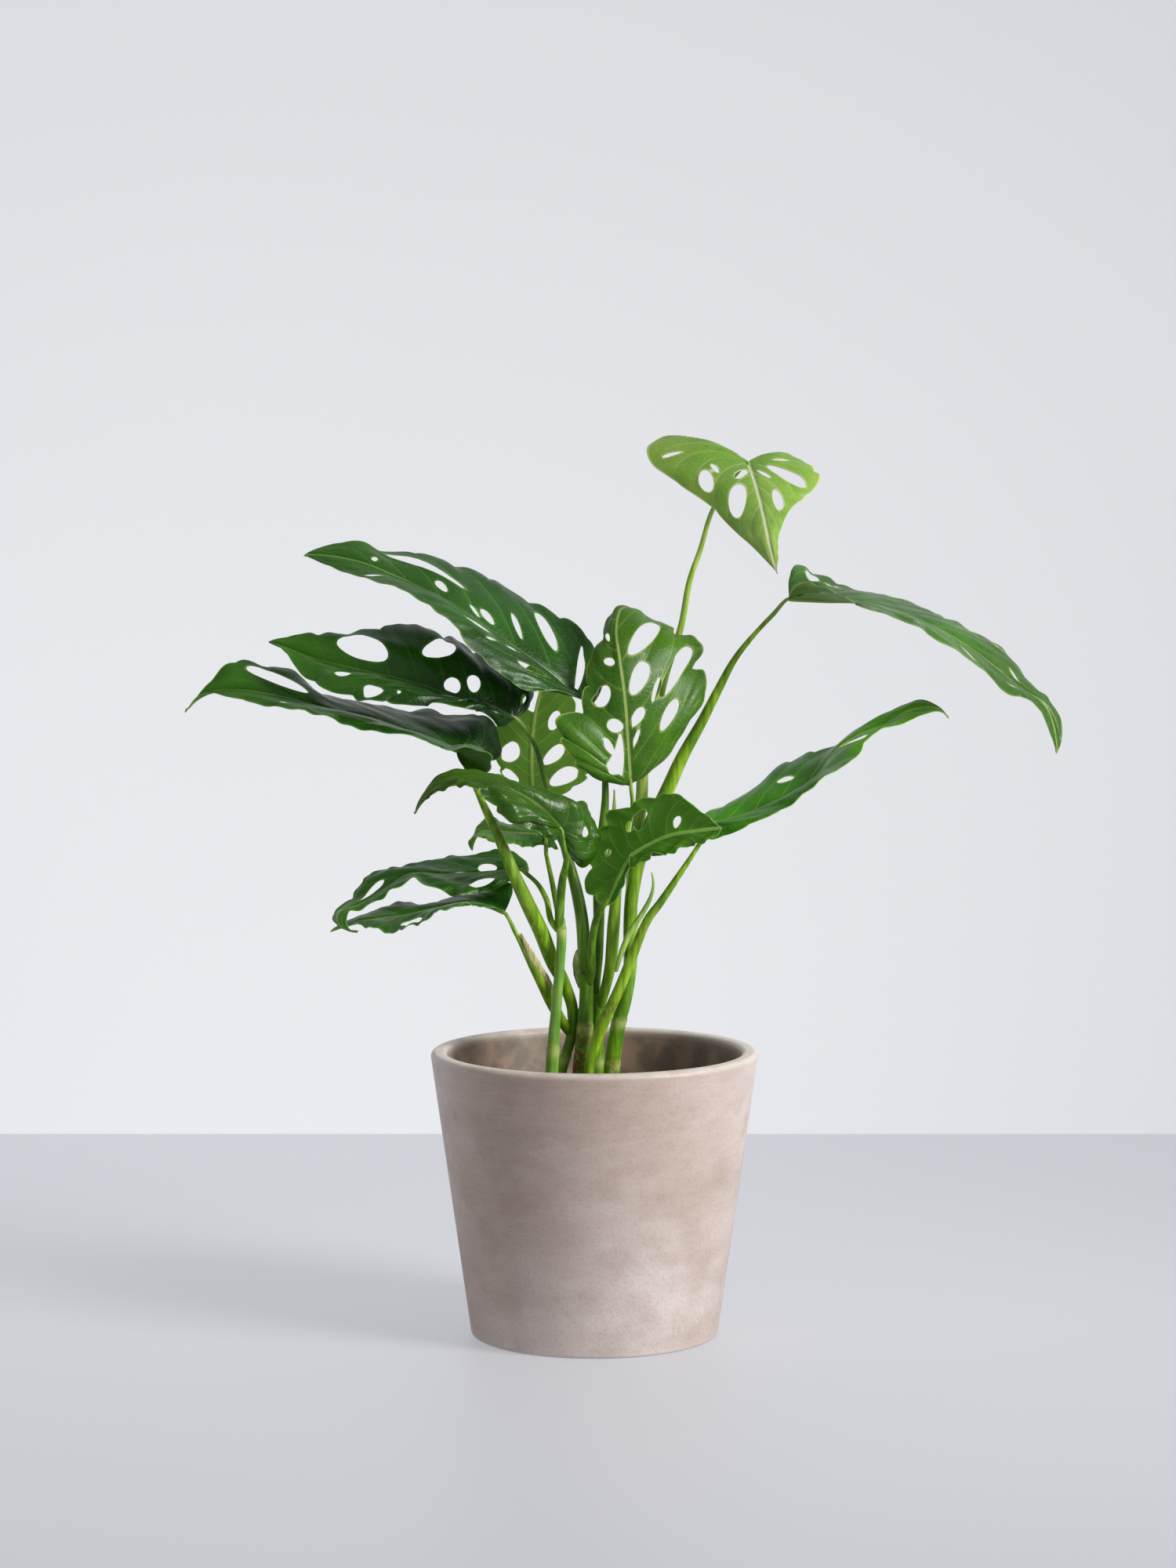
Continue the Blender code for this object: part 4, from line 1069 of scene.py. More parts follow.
class Recipe:
    """A material being made: its Principled BSDF, and short ways to blend colours and numbers."""

    def __init__(self, name: str, **sockets: float | Colour) -> None:
        """Start a material, with constants set on the shader's own sockets."""
        self.material = bpy.data.materials.new(name)
        self.material.use_nodes = True
        self.tree = self.material.node_tree
        self.shader = self.tree.nodes["Principled BSDF"]
        for socket, value in sockets.items():
            self.shader.inputs[socket.replace("_", " ")].default_value = value
        self.place = node(self.tree, "TexCoord").outputs["Object"]

    def value(self, name: str) -> Socket:
        """The attribute of that name on the piece."""
        return node(self.tree, "Attribute", attribute_name=name).outputs["Fac"]

    def stretched(self, scale: Point, turn: Point = (0.0, 0.0, 0.0)) -> Socket:
        """The piece's own coordinates, turned by angles in degrees and then scaled."""
        angles = tuple(map(math.radians, turn))
        turned = node(self.tree, "Mapping", {"Vector": self.place, "Rotation": angles})
        return node(self.tree, "Mapping", {"Vector": turned.outputs[0], "Scale": scale}).outputs[0]

    def noise(self, size_mm: float, detail: float = 3.0, vector: Socket | None = None) -> Socket:
        """Soft noise whose patches are about size_mm across: two to a unit of the noise.

        Args:
            size_mm: the patches' size.
            detail: how many finer layers it adds.
            vector: the coordinates that it reads, or none for the piece's own.

        Returns:
            Its height, from 0 to 1.
        """
        inputs = {"Vector": vector or self.place, "Scale": 0.5 / (size_mm * MM), "Detail": detail}
        return node(self.tree, "TexNoise", inputs).outputs[0]

    def ramp(
        self, source: Socket, low: float, high: float, start: float = 0.0, end: float = 1.0
    ) -> Socket:
        """Turn a source that runs from low to high smoothly into start to end."""
        inputs = {0: source, 1: low, 2: high, 3: start, 4: end}
        return node(self.tree, "MapRange", inputs, interpolation_type="SMOOTHSTEP").outputs[0]

    def sum(self, kind: str, a: Socket | float, b: Socket | float) -> Socket:
        """One sum of two numbers, such as MULTIPLY."""
        return node(self.tree, "Math", {0: a, 1: b}, operation=kind).outputs[0]

    def blend(self, amount: Socket | float, a: Socket | Colour, b: Socket | Colour) -> Socket:
        """Go from colour a to colour b by an amount from 0 to 1."""
        inputs = {0: amount, 6: a, 7: b}
        return node(self.tree, "Mix", inputs, data_type="RGBA", clamp_factor=True).outputs[2]

    def link(self, socket: str, source: Socket) -> None:
        """Feed one of the shader's sockets."""
        self.tree.links.new(source, self.shader.inputs[socket])

    def bump(self, height: Socket, depth_mm: float, strength: float = 1.0) -> None:
        """Raise the surface by a height of depth_mm, on top of any bump before.

        Args:
            height: the height, from 0 to 1.
            depth_mm: how far 1 is raised.
            strength: how much of the bump shows.
        """
        made = node(self.tree, "Bump", {"Height": height, "Distance": depth_mm * MM, "Strength": strength})
        earlier = self.shader.inputs["Normal"].links
        if earlier:
            self.tree.links.new(earlier[0].from_socket, made.inputs["Normal"])
        self.link("Normal", made.outputs[0])


@dataclass(frozen=True)
class LeafSkin:
    """A living blade: a waxy cuticle over deep green cells, matt and paler beneath, and thin enough to glow.

    Each colour is sRGB. Under is the lower side's, and tip_share is how far the tip's colour takes over.
    """

    name: str
    deep: str = "#1B4313"
    fresh: str = "#3B7420"
    tip: str = "#5C9430"
    vein: str = "#7FA84E"
    rib: str = "#8DB257"
    under: str = "#6E9560"
    gloss: float = 0.36
    tip_share: float = 0.55

    def build(self) -> bpy.types.Material:
        """Green that varies in patches of 30 and 6 mm, pale veins about 0.5 mm wide, and a thin pale edge."""
        r = Recipe(
            self.name, Subsurface_Weight=0.16, Subsurface_Scale=0.0025, Subsurface_Radius=(0.5, 1.0, 0.2),
            Specular_IOR_Level=0.3,
        )
        upper, reach = r.value("upper"), r.value("reach")
        patch = r.ramp(r.noise(30.0, 4.0), 0.36, 0.66)
        green = r.blend(patch, linear(self.deep), linear(self.fresh))
        towards_tip = r.sum("MULTIPLY", r.ramp(reach, 0.35, 1.0), self.tip_share)
        green = r.blend(towards_tip, green, linear(self.tip))
        mottle = r.ramp(r.noise(6.0, 5.0), 0.3, 0.7, 0.0, 0.3)
        green = r.blend(mottle, green, linear(self.deep))
        # 0 at a vein and 0.5 midway between two
        away = r.sum("PINGPONG", r.value("phase"), 0.5)
        vein = r.sum("MULTIPLY", r.ramp(away, 0.0, 0.07, 1.0, 0.0), r.ramp(r.value("across"), 0.97, 0.6))
        halo = r.ramp(away, 0.0, 0.3, 0.15, 0.0)
        rib = r.ramp(r.value("from_rib"), 0.5, 1.5, 1.0, 0.0)
        # The net of fine veins, 3 mm across: drawn a little coarse, so that it shows
        mesh = {"Vector": r.place, "Scale": 330.0}
        net = node(r.tree, "TexVoronoi", mesh, feature="DISTANCE_TO_EDGE").outputs[0]
        thread = r.ramp(net, 0.0, 0.09, 1.0, 0.0)
        top = r.blend(halo, green, linear(self.fresh))
        top = r.blend(r.sum("MULTIPLY", thread, 0.10), top, linear(self.vein))
        top = r.blend(r.sum("MULTIPLY", vein, 0.24), top, linear(self.vein))
        top = r.blend(r.sum("MULTIPLY", rib, 0.75), top, linear(self.rib))
        below = r.blend(0.72, green, linear(self.under))
        below = r.blend(r.sum("MULTIPLY", thread, 0.14), below, linear(self.deep))
        below = r.blend(r.sum("MULTIPLY", vein, 0.5), below, linear(self.vein))
        below = r.blend(r.sum("MULTIPLY", rib, 0.8), below, linear(self.rib))
        both = r.blend(upper, below, top)
        both = r.blend(r.ramp(r.value("edge"), 0.45, 1.0, 0.0, 0.6), both, linear(self.rib))
        r.link("Base Color", both)
        wax = r.ramp(r.noise(9.0), 0.3, 0.7, self.gloss - 0.05, self.gloss + 0.09)
        r.link("Roughness", r.sum("ADD", wax, r.ramp(upper, 0.0, 1.0, 0.2, 0.0)))
        r.bump(thread, 0.12, 0.35)
        r.bump(vein, 0.3, 0.3)
        r.bump(r.noise(0.9, 2.0), 0.08, 0.4)
        return r.material


@dataclass(frozen=True)
class StalkSkin:
    """A living stalk or stem: smooth and satin, streaked lengthways, with paler rings and corky marks."""

    name: str
    green: str = "#5E8C0C"
    light: str = "#94BA2A"
    dark: str = "#35600A"
    ring: str = "#B8C474"
    cork: str = "#6B4A26"
    gloss: float = 0.4

    def build(self) -> bpy.types.Material:
        """Green with streaks 1.5 mm wide and 25 mm long, and light patches of 12 mm."""
        r = Recipe(
            self.name, Subsurface_Weight=0.12, Subsurface_Scale=0.002, Subsurface_Radius=(0.5, 1.0, 0.2),
            Specular_IOR_Level=0.32,
        )
        streak = r.ramp(r.noise(1.5, 4.0, r.stretched((1.0, 1.0, 0.06))), 0.35, 0.68)
        green = r.blend(streak, linear(self.green), linear(self.light))
        green = r.blend(r.ramp(r.noise(12.0, 3.0), 0.4, 0.7, 0.0, 0.6), green, linear(self.dark))
        green = r.blend(r.sum("MULTIPLY", r.value("pale"), 0.75), green, linear(self.ring))
        speckle = r.ramp(r.noise(1.6, 6.0), 0.42, 0.56)
        cork = r.sum("MULTIPLY", r.value("cork"), speckle)
        green = r.blend(cork, green, linear(self.cork))
        r.link("Base Color", green)
        satin = r.ramp(streak, 0.0, 1.0, self.gloss + 0.06, self.gloss - 0.04)
        r.link("Roughness", r.sum("ADD", satin, r.sum("MULTIPLY", cork, 0.35)))
        r.bump(streak, 0.12, 0.4)
        r.bump(r.sum("MULTIPLY", cork, r.noise(0.8, 4.0)), 0.4, 0.6)
        return r.material


@dataclass(frozen=True)
class PaperySheath:
    """A dried bract: cream paper with brown fibres along it and a dark, torn edge."""

    name: str
    paper: str = "#C3C088"
    fibre: str = "#8A7440"
    torn: str = "#4A2E1A"

    def build(self) -> bpy.types.Material:
        """Cream with fibres 0.4 mm wide and 15 mm long."""
        r = Recipe(self.name, Subsurface_Weight=0.1, Subsurface_Scale=0.001)
        fibre = r.ramp(r.noise(0.4, 4.0, r.stretched((1.0, 1.0, 0.04))), 0.4, 0.66)
        paper = r.blend(r.sum("MULTIPLY", fibre, 0.6), linear(self.paper), linear(self.fibre))
        paper = r.blend(r.value("cork"), paper, linear(self.torn))
        r.link("Base Color", paper)
        r.link("Roughness", r.ramp(fibre, 0.0, 1.0, 0.62, 0.85))
        r.bump(fibre, 0.2, 0.6)
        return r.material


@dataclass(frozen=True)
class BrushedComposite:
    """Filled plastic, moulded thick and then brushed: a dry stone look, with drifts and scratches."""

    name: str = "brushed_taupe_composite"
    taupe: str = "#AF9C91"
    pale: str = "#D6CAC6"
    umber: str = "#8E7663"
    chalk: str = "#D6CCC4"
    dark_brown: str = "#64574A"

    def build(self) -> bpy.types.Material:
        """Clouds of 70 and 18 mm, flat drifts of 40 by 8 mm, grit of 0.8 mm, brush lines and scratches."""
        r = Recipe(self.name)
        cloud = r.ramp(r.noise(70.0, 6.0), 0.3, 0.7)
        drift = r.ramp(r.noise(40.0, 8.0, r.stretched((1.0, 1.0, 4.5))), 0.36, 0.68)
        patch = r.ramp(r.noise(18.0, 9.0), 0.42, 0.7)
        grit = r.noise(0.8, 4.0)
        colour = r.blend(cloud, linear(self.taupe), linear(self.pale))
        colour = r.blend(r.sum("MULTIPLY", drift, 0.22), colour, linear(self.umber))
        colour = r.blend(r.sum("MULTIPLY", patch, 0.36), colour, linear(self.umber))
        colour = r.blend(r.ramp(grit, 0.45, 0.78, 0.0, 0.32), colour, linear(self.umber))
        brushed = r.ramp(r.noise(1.0, 5.0, r.stretched((0.12, 0.12, 1.0))), 0.5, 0.75, 0.0, 0.1)
        colour = r.blend(brushed, colour, linear(self.chalk))
        marks = [
            r.ramp(r.noise(size, 1.0, r.stretched((1.0, 0.3, 0.02), (0.0, slant, 0.0))), 0.63, 0.72)
            for slant, size in ((32.0, 1.0), (38.0, 1.5))
        ]
        worn = r.ramp(r.noise(55.0, 2.0), 0.5, 0.62)
        scratch = r.sum("MULTIPLY", r.sum("MAXIMUM", *marks), worn)
        colour = r.blend(r.sum("MULTIPLY", scratch, 0.22), colour, linear(self.chalk))
        # The inside of the wall is blended most of the way to a darker mottle of umber and dark brown
        inside = r.value("inside")
        inner_brown = r.blend(r.ramp(r.noise(9.0, 7.0), 0.4, 0.62), linear(self.umber), linear(self.dark_brown))
        colour = r.blend(r.sum("MULTIPLY", inside, 0.9), colour, inner_brown)
        rub = r.sum("MULTIPLY", r.value("worn"), r.ramp(r.noise(5.0, 5.0), 0.3, 0.6, 0.35, 0.85))
        colour = r.blend(rub, colour, linear(self.chalk))
        r.link("Base Color", colour)
        r.link("Roughness", r.ramp(patch, 0.0, 1.0, 0.46, 0.6))
        r.bump(grit, 0.15, 0.4)
        r.bump(patch, 0.3, 0.4)
        r.bump(scratch, 0.1, 0.3)
        return r.material


@dataclass(frozen=True)
class PottingMix:
    """Damp bark and peat: nearly black crumbs with reddish bark and a little white perlite."""

    name: str
    dark: str
    warm: str

    def build(self) -> bpy.types.Material:
        """Crumbs of 3 mm and fibres of 1 mm, from dark to warm."""
        r = Recipe(self.name)
        crumb = r.ramp(r.noise(3.0, 8.0), 0.36, 0.66)
        colour = r.blend(crumb, linear(self.dark), linear(self.warm))
        r.link("Base Color", colour)
        r.link("Roughness", r.ramp(crumb, 0.0, 1.0, 0.8, 0.95))
        r.bump(r.noise(1.2, 8.0), 0.8, 0.8)
        return r.material


@dataclass(frozen=True)
class StudioPaint:
    """Matt paint on the floor or the wall, faintly uneven, with the glow of the room's other light."""

    name: str
    paint: str
    shade: str
    roughness: float
    glow: float

    def build(self) -> bpy.types.Material:
        """Clouds of 400 mm that only break the flatness. The back is open, to show the plant from behind."""
        paint = linear(self.paint)
        r = Recipe(self.name, Roughness=self.roughness, Emission_Color=paint, Emission_Strength=self.glow)
        cloud = r.ramp(r.noise(400.0, 4.0), 0.35, 0.65)
        r.link("Base Color", r.blend(cloud, paint, linear(self.shade)))
        behind = node(r.tree, "NewGeometry").outputs["Backfacing"]
        r.link("Alpha", r.sum("SUBTRACT", 1.0, behind))
        return r.material


@dataclass
class Planter:
    """The turned planter: an open cone with a thick wall and a soft, rounded lip."""

    height: float = 175.0
    rim_radius: float = 100.0
    base_radius: float = 76.1
    wall: float = 9.7
    floor: float = 10.0
    lip: float = 3.2
    foot: float = 2.2
    hollow: float = 2.5
    step: float = 4.0
    turns: int = 256

    def inner_radius(self, height: float) -> float:
        """The radius inside the wall at a height, which is straight from the floor to the rim."""
        lean = (self.rim_radius - self.base_radius) / self.height
        return self.rim_radius - self.wall - (self.height - height) * lean

    def profile(self) -> tuple[Array, Array]:
        """Draw the outline from the axis inside, over the lip and down to the axis below.

        Straight runs are cut into steps of about 4 mm, and the rounded corners are arcs.

        Returns:
            The radius and height of its points, and how worn each is.
        """
        lean = math.degrees(math.atan2(self.rim_radius - self.base_radius, self.height))
        inside, outside = self.inner_radius(self.height), self.rim_radius
        corner = self.inner_radius(self.floor) - self.hollow

        def arc(radius: float, height: float, size: float, start: float, end: float) -> Array:
            """Nine points of an arc round a centre, with its angles in degrees."""
            turn = np.radians(np.linspace(start, end, 9))
            return np.stack([radius + size * np.cos(turn), height + size * np.sin(turn)], axis=-1)

        corners = np.concatenate([
            [(0.05, self.floor), (corner, self.floor)],
            arc(corner, self.floor + self.hollow, self.hollow, -90, -lean),
            arc(inside + self.lip - 0.1, self.height - self.lip, self.lip, 180 - lean, 90),
            arc(outside - self.lip, self.height - self.lip, self.lip, 90, -lean),
            arc(self.base_radius - self.foot, self.foot, self.foot, -lean, -90),
            [(0.05, 0.0)],
        ])
        length = np.concatenate([[0.0], np.cumsum(np.linalg.norm(np.diff(corners, axis=0), axis=1))])
        places = np.unique(np.concatenate([length, np.arange(0.0, length[-1], self.step)]))
        radius, height = (np.interp(places, length, corners[:, k]) for k in range(2))
        middle = (inside + outside) / 2
        worn = bell(height - self.height, 2.2) * bell(radius - middle, 6.0) ** 0.3
        worn = np.maximum(worn, 0.6 * bell(height, 1.5) * (radius > self.base_radius - 4))
        return np.stack([radius, height], axis=-1), worn

    def build(self) -> None:
        """Turn the outline, with 0.15 mm of unevenness, as in a thick moulded wall."""
        profile, worn = self.profile()
        angle = np.linspace(0, 2 * math.pi, self.turns, endpoint=False)
        radius, height = profile[:, :1], profile[:, 1:]
        uneven = 0.15 * np.sin(2 * angle + 0.6) + 0.08 * np.sin(5 * angle + height / 40)
        out = radius + uneven * np.clip((radius - 30) / 40, 0, 1) - 0.15
        points = np.stack([out * np.cos(angle), out * np.sin(angle), height + 0 * out], axis=-1)
        rows = len(profile)
        poles = [(0.0, 0.0, self.floor), (0.0, 0.0, 0.0)]
        is_inside = (np.arange(rows) <= np.argmax(profile[:, 1])).astype(float)
        is_inside *= np.clip((self.height - profile[:, 1]) / 6, 0, 1)
        values = {
            "inside": np.concatenate([np.repeat(is_inside, self.turns), [1.0, 0.0]]),
            "worn": np.concatenate([np.repeat(worn, self.turns), [0.0, 0.0]]),
        }
        faces = [face[::-1] for face in closed_faces(rows, self.turns)]
        piece = put_mesh("planter", np.concatenate([points.reshape(-1, 3), poles]), faces, values)
        hand_over(piece, "planter", BrushedComposite().build(), "planter_pot")


@dataclass
class SoilBed:
    """The bed of potting mix, and the bark and perlite that lie on it."""

    level: float = LEVEL
    crown: float = 2.0
    bottom: float = 10.4
    rings: int = 70
    turns: int = 160
    chips: int = 850
    grains: int = 130
    seat: float = 0.6
    clear: tuple[tuple[float, float, float], ...] = ()
    planter: Planter = field(default_factory=Planter)

    def surface(self, x: Array, y: Array) -> Array:
        """The bed's height: a low crown, and crumbs as products of sines of 4 to 25 mm pitch.

        Args:
            x: the places' x in millimetres.
            y: their y.

        Returns:
            Their heights.
        """
        reach = np.hypot(x, y) / 85
        crumbs = 0.0
        for k, (pitch, size) in enumerate(((25, 0.9), (13, 0.6), (7, 0.45), (4, 0.3))):
            across = np.sin(x * 6.28 / pitch + 1.7 * k + wander(y / pitch, 40 + k))
            deep = np.sin(y * 6.28 / pitch + 0.9 * k + wander(x / pitch, 50 + k))
            crumbs = crumbs + size * across * deep
        return self.level - self.crown * reach**2 + crumbs - 0.6

    def build(self) -> None:
        """Make the bed as a closed plug inside the planter, and scatter the chips on it."""
        inner = self.planter.inner_radius
        radius = np.concatenate([
            np.linspace(0.3, 1, self.rings) * (inner(self.level) - self.seat),
            [inner(60) - self.seat, inner(self.bottom + 3) - self.seat, 30.0],
        ])
        radius = np.concatenate([np.linspace(2, radius[0] - 2, 12), radius])
        angle = np.linspace(0, 2 * math.pi, self.turns, endpoint=False)
        x, y = radius[:, None] * np.cos(angle), radius[:, None] * np.sin(angle)
        z = self.surface(x, y)
        z[-3:] = np.array([60.0, self.bottom + 3, self.bottom])[:, None]
        rows = len(radius)
        poles = [(0, 0, self.level - self.seat), (0, 0, self.bottom)]
        points = np.concatenate([np.stack([x, y, z], -1).reshape(-1, 3), poles])
        piece = put_mesh("soil_bed", points, [face[::-1] for face in closed_faces(rows, self.turns)])
        hand_over(piece, "soil", PottingMix("damp_peat", "#1D140E", "#3D2A1C").build(), "potting_soil")
        bark = PottingMix("pine_bark", "#3A2315", "#7A4E2E")
        perlite = PottingMix("perlite_grains", "#B9B4A8", "#E9E6DE")
        self.scatter("bark_chips", self.chips, (2.0, 6.5), 0.45, 3, bark)
        self.scatter("perlite", self.grains, (1.0, 2.2), 0.85, 4, perlite)

    def scatter(
        self, name: str, count: int, sizes: tuple[float, float], flat: float, seed: int, finish: PottingMix
    ) -> None:
        """Lay chips on the bed: icosahedra, stretched, flattened, bent at their corners and turned at random.

        Args:
            name: the piece's name.
            count: how many to lay. Those that would touch a stem are left out.
            sizes: the smallest and the largest radius in millimetres.
            flat: the thickness as a share of the size.
            seed: the seed of the random draws.
            finish: what the chips are.
        """
        random = np.random.default_rng(seed)
        golden = (1 + 5**0.5) / 2
        corners = unit(np.array([
            (-1, golden, 0), (1, golden, 0), (-1, -golden, 0), (1, -golden, 0),
            (0, -1, golden), (0, 1, golden), (0, -1, -golden), (0, 1, -golden),
            (golden, 0, -1), (golden, 0, 1), (-golden, 0, -1), (-golden, 0, 1),
        ]))
        faces = np.array([
            (0, 11, 5), (0, 5, 1), (0, 1, 7), (0, 7, 10), (0, 10, 11),
            (1, 5, 9), (5, 11, 4), (11, 10, 2), (10, 7, 6), (7, 1, 8),
            (3, 9, 4), (3, 4, 2), (3, 2, 6), (3, 6, 8), (3, 8, 9),
            (4, 9, 5), (2, 4, 11), (6, 2, 10), (8, 6, 7), (9, 8, 1),
        ])
        radius = 80 * np.sqrt(random.uniform(0.0, 1.0, count * 2))
        angle = random.uniform(0, 2 * math.pi, count * 2)
        x, y = radius * np.cos(angle), radius * np.sin(angle)
        stems = np.array(self.clear)
        gap = np.hypot(x[:, None] - stems[:, 0], y[:, None] - stems[:, 1]) - stems[:, 2]
        keep = np.flatnonzero(gap.min(axis=1) > 3.0)[:count]
        x, y = x[keep], y[keep]
        count = len(keep)
        size = random.uniform(*sizes, count) * random.uniform(0.6, 1.0, count)
        size = np.minimum(size, 84 - np.hypot(x, y))
        breadth = size * random.uniform(0.45, 0.9, count)
        thickness = size * flat * random.uniform(0.5, 1, count)
        stretch = np.stack([size, breadth, thickness], -1)
        shape = corners[None] * (1 + random.uniform(-0.22, 0.22, (count, 12, 1))) * stretch[:, None]
        turn, tip = random.uniform(0, 2 * math.pi, (count, 1)), random.normal(0, 0.35, (count, 1))
        tilted_z = shape[..., 2] * np.cos(tip) + shape[..., 0] * np.sin(tip)
        tilted_x = shape[..., 0] * np.cos(tip) - shape[..., 2] * np.sin(tip)
        placed = np.stack([
            x[:, None] + tilted_x * np.cos(turn) - shape[..., 1] * np.sin(turn),
            y[:, None] + tilted_x * np.sin(turn) + shape[..., 1] * np.cos(turn),
            self.surface(x, y)[:, None] + tilted_z + 0.25 * stretch[:, 2:],
        ], -1)
        numbers = (faces[None] + 12 * np.arange(count)[:, None, None]).reshape(-1, 3)
        piece = put_mesh(name, placed.reshape(-1, 3), numbers, sharp=30.0)
        hand_over(piece, "soil", finish.build(), "potting_soil")


@dataclass
class Plant:
    """The living parts: rooted stems, leaf stalks, blades, the rolled new leaf and the dry sheaths.

    Swellings and grooves are shares of a stem's radius.
    """

    ring_swell: float = 0.07
    ring_pinch: float = 0.05
    unevenness: float = 0.02
    stalk_groove: float = 0.14
    stalk_wing: float = 0.16
    joint_swell: float = 0.16
    roll_step: float = 0.22

    def build_canes(self) -> None:
        """Sweep each rooted stem, swollen and paler at its rings, and corky near the soil."""
        cane_green = StalkSkin("smooth_green_stem", "#4C7E08", "#7CA824", "#2C5606").build()
        bluish = StalkSkin("bluish_green_stem", "#5E9030", "#8AB44C", "#3C7020").build()
        for seed, (name, (route, radii)) in enumerate(CANES.items()):
            rings = np.array(RINGS[name])
            old = CORKY_BELOW[name]

            def section(
                along: Array, angle: Array, place: Array, rings: Array = rings, seed: int = seed
            ) -> Array:
                """Swell at each ring, pinch just above it, and wander along the stem."""
                height = place[..., 2][..., None] - rings
                swell = self.ring_swell * bell(height, 2.2) - self.ring_pinch * bell(height - 3.2, 1.2)
                return 1 + swell.sum(-1) + self.unevenness * wander(along * 9 + np.cos(angle), 60 + seed)

            def values(
                along: Array, angle: Array, place: Array, rings: Array = rings, old: float = old
            ) -> dict[str, Array]:
                """Pale just under each ring; brown low on the old stems and as a thread at each ring."""
                height = place[..., 2][..., None] - rings
                pale = (0.9 * bell(height + 1.5, 3.0)).sum(-1)
                cork = 0.55 * bell(height - 1.2, 0.6).sum(-1)
                cork = cork + 1.1 * np.clip((old - place[..., 2]) / 30, 0, 1)
                return {"pale": np.clip(pale, 0, 1), "cork": np.clip(cork, 0, 1)}

            piece = Sweep(route, radii).build(name.replace("cane", "stem"), section, values)
            hand_over(piece, "cane", bluish if name == "cane_front" else cane_green, name)

    def build_stalks(self) -> None:
        """Sweep each leaf stalk from inside its stem, or from the soil, to the start of its blade."""
        green = StalkSkin("satin_green_stalk").build()
        # A darker copy of the stalk green: painted shade for the stalks under the leaves
        deep = StalkSkin("shaded_green_stalk", "#44700A", "#6E9A20", "#284E06").build()
        young = StalkSkin("young_green_stalk", "#86AC30", "#AEC860", "#628A20").build()
        for seed, (name, (route, radii)) in enumerate(STALKS.items()):
            blade = OUTLINES[name]
            start = np.array(blade.midrib[0], float)
            into = start + 0.12 * (np.array(blade.midrib[1]) - start)
            root = (ROOTS[name],) if name in ROOTS else ()
            whole = (*root, *route, tuple(start), tuple(into))
            widths = (*((radii[0] * 0.92,) if root else ()), *radii, 1.4, 0.9)

            def section(along: Array, angle: Array, place: Array, seed: int = seed) -> Array:
                """Groove the upper side between two low wings, which fade upwards, and swell the joint."""
                turned = np.abs((angle - 2.2 - 0.8 * np.sin(seed) + math.pi) % (2 * math.pi) - math.pi)
                wings = self.stalk_wing * bell(turned - 0.62, 0.2) * np.clip(1.2 - 1.5 * along, 0, 1)
                groove = self.stalk_groove * bell(turned, 0.4) * np.clip(6 * along, 0, 1)
                joint = self.joint_swell * bell(along - 0.93, 0.035) - 0.06 * bell(along - 0.865, 0.03)
                uneven = self.unevenness * wander(along * 8 + np.sin(angle), 80 + seed)
                return 1 + wings - groove + joint + uneven

            def values(along: Array, angle: Array, place: Array, seed: int = seed) -> dict[str, Array]:
                """Pale at the swollen joint and along the wings, with flecks of cork on older stalks."""
                turned = np.abs((angle - 2.2 - 0.8 * np.sin(seed) + math.pi) % (2 * math.pi) - math.pi)
                edge = bell(turned - 0.66, 0.12) * np.clip(1.1 - 1.6 * along, 0, 1)
                fleck = np.clip(wander(along * 30 + angle, 90 + seed) - 0.7, 0, 1)
                pale = np.clip(0.5 * bell(along - 0.95, 0.04) + 0.8 * edge, 0, 1)
                return {"pale": pale, "cork": fleck * np.clip(0.9 - along, 0, 1)}

            piece = Sweep(whole, widths).build(f"{name}_petiole", section, values)
            lit_or_shaded_skin = deep if name in SHADED_STALKS else green
            hand_over(piece, "stalk", young if name == "crown" else lit_or_shaded_skin, f"{name}_stalk")

    def build_blades(self) -> None:
        """Loft each blade and give it its own green."""
        for seed, (name, outline) in enumerate(OUTLINES.items()):
            wave, crumple, ragged, lobes = ROUGHNESS[name]
            blade = Blade(
                name, outline, seed=seed + 1, wave=wave, crumple=crumple, ragged=ragged, lobes=lobes
            )
            piece = blade.build()
            hand_over(piece, "leaf", LEAF_SKINS[name].build(), f"{name}_leaf")

    def build_new_leaf(self) -> None:
        """The rolled new leaf: each turn of the roll starts one step out from the one under it."""
        route = (
            (13, -18.6, 226), (17, -20, 239), (22, -20, 250.5), (29, -20, 261.5), (34, -20, 271.5),
            (35.5, -20, 279), (34.5, -20, 286),
        )
        radii = (1.0, 1.8, 1.8, 1.5, 1.1, 0.5)

        def section(along: Array, angle: Array, place: Array) -> Array:
            """A roll: the radius grows round the stem and drops back at an edge that winds slowly up it."""
            return 0.92 + self.roll_step * ((angle / (2 * math.pi) + 0.8 * along + 0.2) % 1.0)

        def values(along: Array, angle: Array, place: Array) -> dict[str, Array]:
            """Pale along the roll's edge, and brown at the very tip."""
            edge = (angle / (2 * math.pi) + 0.8 * along + 0.2) % 1.0
            return {"pale": 0.8 * bell(edge - 1, 0.12), "cork": np.clip((along - 0.93) * 12, 0, 1)}

        piece = Sweep(route, radii, step=0.8).build("rolled_new_leaf", section, values)
        skin = StalkSkin("rolled_leaf_green", "#7FA83F", "#A6C566", "#5E8A2F")
        hand_over(piece, "stalk", skin.build(), "new_leaf_spear")

